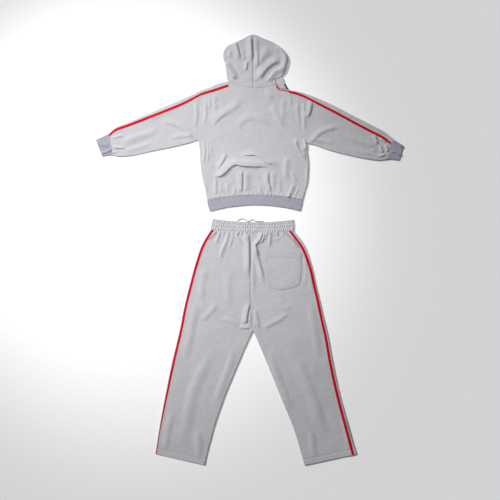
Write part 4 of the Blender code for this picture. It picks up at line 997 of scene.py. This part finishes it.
pants = dict(
    length=1000.0,
    crotch=0.55,
    left=[
        dict(v=0.00, ox=-414, oy=-896, ix=-197, iy=-946),
        dict(v=0.14, ox=-391, oy=-752, ix=-158, iy=-793),
        dict(v=0.25, ox=-371, oy=-645, ix=-117, iy=-670),
        dict(v=0.38, ox=-344, oy=-511, ix=-60, iy=-529),
        dict(v=0.51, ox=-313, oy=-379, ix=2, iy=-386),
        dict(v=0.55, ox=-304, oy=-338, ix=17, iy=-357),
        dict(v=0.64, ox=-287, oy=-250),
        dict(v=0.73, ox=-265, oy=-160),
        dict(v=0.82, ox=-241, oy=-70),
        dict(v=0.91, ox=-211, oy=17),
        dict(v=1.00, ox=-170, oy=88),
    ],
    right=[
        dict(v=0.00, ox=472, oy=-897, ix=241, iy=-946),
        dict(v=0.14, ox=430, oy=-752, ix=197, iy=-793),
        dict(v=0.25, ox=401, oy=-645, ix=147, iy=-670),
        dict(v=0.38, ox=371, oy=-511, ix=90, iy=-529),
        dict(v=0.51, ox=347, oy=-379, ix=30, iy=-386),
        dict(v=0.55, ox=337, oy=-338, ix=17, iy=-357),
        dict(v=0.64, ox=317, oy=-250),
        dict(v=0.73, ox=296, oy=-160),
        dict(v=0.82, ox=275, oy=-70),
        dict(v=0.91, ox=244, oy=17),
        dict(v=1.00, ox=196, oy=84),
    ],
    centre=[
        dict(v=0.55, x=17, y=-357),
        dict(v=0.64, x=8, y=-250),
        dict(v=0.73, x=6, y=-160),
        dict(v=1.00, x=6, y=80),
    ],
    leftTape=[
        dict(v=0.0, off=3.2, wide=3),
        dict(v=0.1, off=3.2, wide=3.4),
        dict(v=0.2, off=3.2, wide=6.5),
        dict(v=0.34, off=3.2, wide=9),
        dict(v=0.7, off=3.2, wide=10),
        dict(v=1.0, off=3.4, wide=11.5),
    ],
    rightTape=[
        dict(v=0.0, off=11, wide=11),
        dict(v=0.2, off=7, wide=11.5),
        dict(v=0.5, off=7, wide=11),
        dict(v=0.76, off=4.2, wide=11.5),
        dict(v=0.87, off=7, wide=12),
        dict(v=0.94, off=12, wide=12),
        dict(v=1.0, off=11, wide=12),
    ],
    gathers=40,               # where the waistband draws the legs in
    folds=[
        # along the centre seam
        dict(at=[(-9, 76), (-6, 10), (-5, -50), (-4, -130)], rise=8, left=8, right=26, lean=-3.5, taper=(0.1, 0.4)),
        dict(at=[(18, 66), (16, -40), (14, -130), (14, -220)], rise=3.4, left=20, right=8),
        dict(at=[(3, -232), (-8, -258), (-15, -292), (-19, -330)], rise=8, left=9, right=22, lean=-4,
             taper=(0.25, 0.2)),
        dict(at=[(14, -236), (6, -280), (2, -330)], rise=3, left=16, right=8),
        dict(at=[(6, -336), (-10, -342), (-44, -340)], rise=5, left=8, right=16, lean=-2),
        dict(at=[(22, -250), (33, -308), (40, -352)], rise=5, left=16, right=14, lean=2),
        dict(at=[(57, -352), (86, -332), (141, -302), (180, -268)], rise=3.4, left=24, right=14),
        dict(at=[(-42, -336), (-78, -316), (-124, -302)], rise=3.4, left=14, right=24),
        dict(at=[(-213, -315), (-173, -275), (-138, -228)], rise=3, left=24, right=20),
        dict(at=[(20, -300), (22, -346)], rise=3, left=8, right=8),
        # drawn from the waistband, right of the centre
        dict(at=[(56, 78), (44, 46), (25, 22), (27, 4), (38, -38)],
             rise=8, left=9, right=16, lean=-3, taper=(0.08, 0.4)),
        dict(at=[(22, 18), (30, -20), (40, -60), (54, -111), (66, -168)], rise=7, left=15, right=20, lean=-2,
             taper=(0.15, 0.4)),
        dict(at=[(66, 72), (58, 44), (44, 26)], rise=6, left=8, right=8, taper=(0.1, 0.3)),
        dict(at=[(74, 80), (72, 56), (60, 40)], rise=3, left=7, right=7, taper=(0.1, 0.3)),
        dict(at=[(91, 82), (92, 48), (84, 8)], rise=5, left=12, right=8, lean=2, taper=(0.1, 0.35)),
        dict(at=[(80, 78), (76, 62)], rise=3, left=7, right=7, taper=(0.1, 0.4)),
        dict(at=[(122, 82), (122, 60)], rise=3.6, left=8, right=8, taper=(0.1, 0.4)),
        dict(at=[(104, 52), (120, 48), (138, 50)], rise=2, left=8, right=8),
        dict(at=[(146, 82), (150, 54)], rise=2.4, left=9, right=9, taper=(0.1, 0.4)),
        dict(at=[(178, 78), (196, 40), (206, 0)], rise=2.4, left=10, right=12),
        # left of the centre
        dict(at=[(-44, 84), (-56, 66), (-50, 50), (-14, 12)], rise=4.5, left=10, right=12, lean=-1, taper=(0.1, 0.4)),
        dict(at=[(-14, 84), (-18, 60), (-16, 30)], rise=4, left=8, right=9, taper=(0.1, 0.4)),
        dict(at=[(10, 84), (14, 62)], rise=3, left=7, right=7, taper=(0.1, 0.4)),
        dict(at=[(-90, 84), (-100, 40), (-122, -10), (-128, -60)], rise=5, left=16, right=11, lean=1,
             taper=(0.1, 0.4)),
        dict(at=[(-70, 84), (-76, 50), (-92, 0)], rise=3.4, left=11, right=11, taper=(0.1, 0.4)),
        dict(at=[(-128, 80), (-140, 50), (-150, 20)], rise=4, left=12, right=9, taper=(0.1, 0.4)),
        dict(at=[(-112, 82), (-116, 56)], rise=2.6, left=8, right=8, taper=(0.1, 0.4)),
        dict(at=[(-32, 84), (-34, 58)], rise=2.6, left=8, right=8, taper=(0.1, 0.4)),
        # slanted edges of the side pockets
        dict(at=[(155, 80), (185, 50), (223, 11)], rise=2.6, left=5, right=10, taper=(0.05, 0.1)),
        dict(at=[(-144, 80), (-180, 46)], rise=2.6, left=10, right=5, taper=(0.05, 0.1)),
        # right hip and outside of the pocket
        dict(at=[(240, -20), (250, -80), (256, -150)], rise=3, left=10, right=8),
        dict(at=[(262, -60), (270, -130), (276, -200)], rise=3, left=9, right=9),
        dict(at=[(244, -90), (246, -150)], rise=2.4, left=7, right=7),
        # slow bends down the legs
        dict(at=[(-150, -420), (-240, -600), (-300, -860)], rise=4.5, left=42, right=34),
        dict(at=[(170, -420), (268, -620), (340, -860)], rise=4.5, left=34, right=42),
        dict(at=[(-230, -210), (-262, -380), (-290, -500)], rise=3.6, left=28, right=30),
        dict(at=[(262, -220), (292, -390), (312, -500)], rise=3.6, left=30, right=28),
        dict(at=[(-60, -420), (-110, -560), (-160, -700)], rise=3.2, left=30, right=22),
        dict(at=[(80, -430), (130, -570), (190, -720)], rise=3.2, left=22, right=30),
        dict(at=[(-340, -700), (-360, -800), (-372, -890)], rise=3, left=24, right=24),
        dict(at=[(410, -720), (432, -810), (446, -890)], rise=3, left=22, right=24),
        dict(at=[(-230, -780), (-222, -860), (-226, -930)], rise=3, left=26, right=24),
        dict(at=[(270, -780), (278, -860), (290, -930)], rise=3, left=24, right=26),
        dict(at=[(-190, -60), (-210, -160), (-214, -240)], rise=3, left=26, right=22),
        dict(at=[(-90, -80), (-96, -180), (-84, -270)], rise=2.6, left=26, right=26),
        dict(at=[(130, -210), (150, -250), (190, -250)], rise=2, left=20, right=20),
    ],
)


def waistPuckers(x, y):
    # the gathers of the waistband run a little way down into the legs
    (lx, ly), (rx, ry), bow = waistSeam["left"], waistSeam["right"], waistSeam["bow"]
    s = (x - lx) / (rx - lx)
    below = (ly + (ry - ly) * s + 4 * bow * s * (1 - s)) - y
    wave = 0.5 - 0.5 * np.cos(2 * np.pi * pants["gathers"] * s)
    uneven = 0.55 + 0.45 * softNoise(s * 1000, y * 0, 37, 51)
    reach = 10 + 22 * np.abs(softNoise(s * 1000, y * 0, 53, 52))
    inside = smooth(np.minimum(s, 1 - s) / 0.03) * (np.abs(s - 0.5) < 0.5)
    return 2.6 * uneven * wave * (1 - smooth(below / reach)) * inside


def hemStitching(x, y):
    # the trouser hems are turned up and stitched: a slight channel along each
    rise = np.zeros_like(x)
    for table in (pants["left"], pants["right"]):
        start, stop = np.array((table[0]["ox"], table[0]["oy"])), np.array((table[0]["ix"], table[0]["iy"]))
        run = (stop - start) / np.hypot(*(stop - start))
        along = (x - start[0]) * run[0] + (y - start[1]) * run[1]
        up = np.abs(-(x - start[0]) * run[1] + (y - start[1]) * run[0])
        here = (along > -12) & (along < np.hypot(*(stop - start)) + 12) & (up < 60)
        rise = np.where(here, -1.1 * np.exp(-((up - 24) / 2.6) ** 2) + 0.6 * (1 - smooth((up - 20) / 5)), rise)
    return rise


def pantsHeight(x, y):
    rise, pushX, pushY = addFolds(pants["folds"], x, y)
    centre = tableValue(pants["centre"], "x", np.interp(y, (-357, 80), (pants["crotch"], 1.0)))
    groove = -1.6 * np.exp(-((x - centre) / 2.4) ** 2) * smooth((y + 352) / 10)
    slow = 1.1 * softNoise(x, y, 64, 61) + 0.6 * softNoise(x, y, 26, 62)
    return cloth["layer"] + 0.8 + rise + groove + waistPuckers(x, y) + hemStitching(x, y) + slow, pushX, pushY


def legPiece(table):
    edgeA = rail(table, "ox", "oy")
    inseam = rail([row for row in table if row["v"] <= pants["crotch"]], "ix", "iy")
    centre = rail(pants["centre"], "x", "y")
    clear = np.array((math.copysign(halfSeam, table[0]["ix"]), 0))

    def edgeB(v):
        low = inseam(np.minimum(v, pants["crotch"]))
        return np.where((v <= pants["crotch"])[..., None], low, centre(v)) + clear

    one = np.array(1.0)
    endA, endB = edgeA(one), edgeB(one)

    def lay(s, v):
        (lx, ly), (rx, ry), bow = waistSeam["left"], waistSeam["right"], waistSeam["bow"]
        point = mix(edgeA(v), edgeB(v), s)
        t = (point[..., 0] - lx) / (rx - lx)
        seamY = ly + (ry - ly) * t + 4 * bow * t * (1 - t)
        endY = endA[1] + (endB[1] - endA[1]) * s
        point[..., 1] += (seamY - endY) * smooth((v - 0.8) / 0.2)
        return point

    sewn = lambda v: (np.asarray(v) > pants["crotch"] + 0.001).astype(float)
    return dict(edgeA=edgeA, edgeB=edgeB, lay=lay, length=pants["length"], height=pantsHeight,
                wall=cloth["fleece"], sewnB=sewn)


def makeLegs():
    crotch = (pants["crotch"], pants["crotch"] + 0.003)
    for side in ("left", "right"):
        piece = legPiece(pants[side])
        tape = tapeColumns(piece, pants[side + "Tape"], "a")
        near = [(1, "flat", 0.13)] + flatColumns(1, 0.13, 1, round(250 / cloth["cell"]))
        step = lambda k: (lambda v: (1 - k / 4) * tape[-1][2](v) + k / 4 * (
            radius + (widthOf(piece, v) - 2 * radius) * 0.13))
        between = [(1, "a mm", step(k)) for k in range(1, 4)]
        columns = turned(1, "a") + tape + between + near + turned(1, "b")[::-1]
        rows = [shareRows(round(pants["length"] / cloth["cell"]), *crotch)]
        makeShell(side + "LegBack", "pants_back_" + side, piece, columns, rows, "fleece")
        makeShell(side + "LegTape", "stripe_leg_" + side, piece, tape, rows, "red_tape",
                  cloth["seam"], cloth["seam"] + cloth["tape"])
        rows = [shareRows(round(pants["length"] / 12), *crotch)]
        makeShell(side + "LegFront", "pants_front_" + side, piece,
                  underColumns(round(270 / cloth["underCell"])), rows, "fleece")


# Waistband

waistband = dict(
    length=49.0, gathers=40, rise=3.2, perGather=6,
    rows=[
        dict(v=0.0, lx=-170, ly=88, rx=196, ry=84, bow=-6),
        dict(v=0.5, lx=-167, ly=112, rx=197, ry=108, bow=-9),
        dict(v=1.0, lx=-161, ly=137, rx=194, ry=133, bow=-13),
    ],
)


def waistRelief(s, v):
    # gathers that wander, lean and differ, with two rows of stitching drawn into them
    shift = 0.010 * np.sin(2 * np.pi * 3 * s + 1.3) + 0.006 * np.sin(7 * v + 23 * s)
    wave = 0.5 - 0.5 * np.cos(2 * np.pi * waistband["gathers"] * (s + shift))
    fine = 0.5 - 0.5 * np.cos(2 * np.pi * (2.3 * waistband["gathers"] * s + 0.7 * np.sin(5 * v)))
    uneven = 0.7 + 0.3 * softNoise(s * 1000, v * 40, 33, 71)
    rows = sum(np.exp(-((v - at) / 0.035) ** 2) for at in (0.34, 0.66))
    return (waistband["rise"] * uneven * wave + 0.8 * fine) * (1 - 0.45 * rows) - 0.6 * rows


def makeWaistband():
    edgeA, edgeB = rail(waistband["rows"], "lx", "ly"), rail(waistband["rows"], "rx", "ry")
    height = lambda x, y: (cloth["layer"] + 0.8 + 0.8 * softNoise(x, y, 30, 72), none(x), none(x))
    piece = dict(edgeA=edgeA, edgeB=edgeB, lay=bowedLay(edgeA, edgeB, waistband["rows"]),
                 length=waistband["length"], wall=cloth["band"], height=height, relief=waistRelief)
    makeShell("gatheredBand", "waistband", piece, roundColumns(waistband["perGather"] * waistband["gathers"], 60),
              [shareRows(22)], "fleece")


# Patch pocket, laid on the right seat panel

pocket = dict(
    length=157.0, wall=1.6, clear=0.5, hem=0.86,
    rows=[
        dict(v=0.0, lx=82, ly=-164, rx=224, ry=-150, bow=-16),
        dict(v=0.5, lx=72, ly=-85, rx=231, ry=-86, bow=-4),
        dict(v=1.0, lx=66, ly=-6, rx=230, ry=-14, bow=0),
    ],
)


def surfaceOf(piece):
    mesh = piece.data
    return BVHTree.FromPolygons([v.co for v in mesh.vertices], [f.vertices for f in mesh.polygons])


def heightOn(tree, x, y, lift=0.0):
    hit = tree.ray_cast(Vector((x * mm, y * mm, 0.1)), Vector((0, 0, -1)))[0]
    return hit.z / mm + lift if hit else None


def makePocket():
    tree = surfaceOf(made["rightLegBack"])

    def height(x, y):
        rise = [heightOn(tree, a, b, pocket["clear"]) for a, b in zip(x.ravel(), y.ravel())]
        return np.array(rise).reshape(x.shape), none(x), none(x)

    edgeA, edgeB = rail(pocket["rows"], "lx", "ly"), rail(pocket["rows"], "rx", "ry")
    hem = lambda s, v: 0.7 * smooth((v - pocket["hem"] + 0.012) / 0.024)
    piece = dict(edgeA=edgeA, edgeB=edgeB, lay=bowedLay(edgeA, edgeB, pocket["rows"]),
                 length=pocket["length"], wall=pocket["wall"], height=height, relief=hem)
    count = round(150 / cloth["cell"])
    columns = [(1, "flat", k / count) for k in range(count + 1)]
    makeShell("backPocket", "back_pocket", piece, columns, [shareRows(count + 4)], "fleece", 0.0, pocket["wall"])


# Sewing: rows of stitches over the cloth, and thin dark strips of painted shade along the side pocket openings

sewing = dict(
    pitch=4.2, long=3.1, wide=0.95, tall=0.55,
    # width of each strip of painted shade, in millimetres
    shadeStrip=2.0,
    rows=[
        dict(on="hoodieBack", name="hemBandStitches", curved=True, routes=[
            [(-180, 226), (-80, 241), (25, 247), (130, 242), (231, 227)]]),
        dict(on="hoodieBack", name="neckStitches", curved=True, routes=[
            [(-84, 733), (-40, 719), (15, 712), (70, 715), (112, 724)]]),
        dict(on="leftHood", name="leftHoodStitches", curved=True, routes=[
            [(-84, 744), (-50, 732), (6, 723)], [(8, 730), (9, 790), (9, 860), (10, 926)]]),
        dict(on="rightHood", name="rightHoodStitches", curved=True, routes=[
            [(28, 722), (70, 725), (110, 735)], [(27, 730), (26, 790), (26, 860), (25, 926)]]),
        dict(on="leftSleeve", name="leftArmholeStitches", curved=True, routes=[
            [(-230, 492), (-236, 545), (-234, 600), (-226, 650), (-217, 688)]]),
        dict(on="rightSleeve", name="rightArmholeStitches", curved=True, routes=[
            [(257, 478), (262, 535), (260, 590), (252, 640), (244, 674)]]),
        dict(on="leftLegBack", name="leftLegStitches", curved=True, routes=[
            [(-403, -874), (-308, -896), (-198, -921)], [(-402, -869), (-307, -891), (-197, -916)],
            [(0, 62), (1, -40), (1, -150), (2, -250), (8, -330)],
            [(-164, 80), (-100, 75), (-40, 74), (0, 75)], [(-140, 70), (-176, 38)]]),
        dict(on="rightLegBack", name="rightLegStitches", curved=True, routes=[
            [(455, -874), (350, -898), (243, -921)], [(454, -869), (349, -893), (242, -916)],
            [(12, 62), (11, -40), (11, -150), (12, -250), (22, -330)],
            [(12, 75), (70, 74), (130, 74), (190, 77)], [(149, 74), (180, 43), (216, 6)]]),
        dict(on="backPocket", name="pocketStitches", curved=False, routes=[
            [(70, -12), (76, -85), (86, -158), (117, -168), (153, -169), (188, -161), (220, -147),
             (227, -86), (226, -18)],
            [(76, -12), (82, -85), (91, -152), (118, -162), (153, -163), (187, -155), (214, -143),
             (221, -86), (220, -18)],
            [(72, -12), (150, -15), (224, -19)], [(74, -31), (150, -33), (225, -36)]]),
    ],
    # thin dark strips of painted shade along the side pocket openings
    shadeStrips=[
        dict(on="leftLegBack", name="leftPocketShade", route=[(-144, 79), (-161, 64), (-179, 47)]),
        dict(on="rightLegBack", name="rightPocketShade", route=[(155, 79), (187, 47), (218, 14)]),
    ],
)


def stitchMatrix(tree, start, stop):
    # a bead from start to stop, lying on the cloth, or none where there is no cloth
    ends = []
    for x, y in (start, stop):
        z = heightOn(tree, x, y, sewing["tall"] * 0.2)
        if z is None:
            return None
        ends.append(Vector((x, y, z)) * mm)
    run = ends[1] - ends[0]
    turn = run.to_track_quat("X", "Z").to_matrix().to_4x4()
    size = Matrix.Diagonal((run.length, sewing["wide"] * mm, sewing["tall"] * mm, 1))
    return Matrix.Translation((ends[0] + ends[1]) / 2) @ turn @ size


def makeStitches():
    for row in sewing["rows"]:
        tree = surfaceOf(made[row["on"]])
        bm = bmesh.new()
        for route in row["routes"]:
            line = smoothRoute(route) if row["curved"] else np.array(route, float)
            whole = spanLength(line).sum()
            starts = np.arange(0, whole - sewing["long"], sewing["pitch"])
            firsts = alongRoute(line, starts / whole)
            lasts = alongRoute(line, (starts + sewing["long"]) / whole)
            for start, stop in zip(firsts, lasts):
                place = stitchMatrix(tree, start, stop)
                if place:
                    bmesh.ops.create_uvsphere(bm, u_segments=6, v_segments=4, radius=0.5, matrix=place)
        mesh = bpy.data.meshes.new(row["name"])
        bm.to_mesh(mesh)
        bm.free()
        mesh.shade_smooth()
        addPiece(row["name"], None, mesh, "thread")
    print("stitches made")


# each strip is a dark sheet laid on the cloth, painted shade standing for the shadow inside a pocket opening
def makePocketShadeStrips():
    for shadeStrip in sewing["shadeStrips"]:
        tree = surfaceOf(made[shadeStrip["on"]])
        whole = spanLength(smoothRoute(shadeStrip["route"])).sum()
        line = alongRoute(smoothRoute(shadeStrip["route"]), np.linspace(0, 1, round(whole / 2.5)))
        run = np.gradient(line, axis=0)
        out = np.stack((-run[:, 1], run[:, 0]), axis=-1) / np.hypot(*run.T)[:, None]
        grid = line[:, None, :] + out[:, None, :] * (np.linspace(-0.5, 0.5, 4) * sewing["shadeStrip"])[None, :, None]
        height = np.array([[heightOn(tree, x, y) for x, y in points] for points in grid])
        top = np.dstack((grid, height + 0.5))
        under = np.dstack((grid, height + 0.15))
        addPiece(shadeStrip["name"], None, shellMesh(shadeStrip["name"], top, under, grid), "pocket_shade")
    print("pocket mouths made")


# Floor and light

studio = dict(
    floor=(0.90, 0.90, 0.905),
    lampAt=(-0.80, 1.28, 2.99),
    lampAim=(-0.56, 0.26, 0.0),
    lampPower=300.0,
    lampRadius=0.16,
    beam=42.5,                # degrees across, fading to the rim
    windowFrom=(-1.0, 0.75, 0.88),
    windowPower=2.85,
    windowSpread=4.0,         # degrees
    fillStrength=0.20,
)


def makeFloor():
    bm = bmesh.new()
    bmesh.ops.create_grid(bm, x_segments=1, y_segments=1, size=9)
    mesh = bpy.data.meshes.new("floor")
    bm.to_mesh(mesh)
    bm.free()
    paint, nodes, links, shader = newMaterial("floorPaint")
    shader.inputs["Base Color"].default_value = (*studio["floor"], 1)
    shader.inputs["Roughness"].default_value = 0.9
    shader.inputs["Specular IOR Level"].default_value = 0.1
    mesh.materials.append(paint)
    floor = bpy.data.objects.new("floor", mesh)
    bpy.context.collection.objects.link(floor)


def addLight(name, kind, power, at, aim):
    light = bpy.data.lights.new(name, kind)
    light.energy = power
    holder = bpy.data.objects.new(name, light)
    holder.location = at
    holder.rotation_euler = (Vector(aim) - Vector(at)).to_track_quat("-Z", "Y").to_euler()
    bpy.context.collection.objects.link(holder)
    return light


def makeLight():
    lamp = addLight("lamp", "SPOT", studio["lampPower"], studio["lampAt"], studio["lampAim"])
    lamp.shadow_soft_size = studio["lampRadius"]
    lamp.spot_size = math.radians(studio["beam"])
    lamp.spot_blend = 1.0
    window = addLight("window", "SUN", studio["windowPower"], studio["windowFrom"], (0, 0, 0))
    window.angle = math.radians(studio["windowSpread"])
    world = bpy.data.worlds.new("studio")
    world.use_nodes = True
    world.node_tree.nodes["Background"].inputs["Color"].default_value = (1, 1, 1, 1)
    world.node_tree.nodes["Background"].inputs["Strength"].default_value = studio["fillStrength"]
    bpy.context.scene.world = world
    bpy.context.scene.view_settings.view_transform = "Standard"
    print("floor and light made")


makeCamera()
makeDrawstring()
makeFloor()
makeLight()
makeBody()
makeFrontShoulder()
makeSleeves()
makeHemBand()
makeHood()
makeLegs()
makeWaistband()
makePocket()
makeStitches()
makePocketShadeStrips()

bpy.context.view_layer.update()
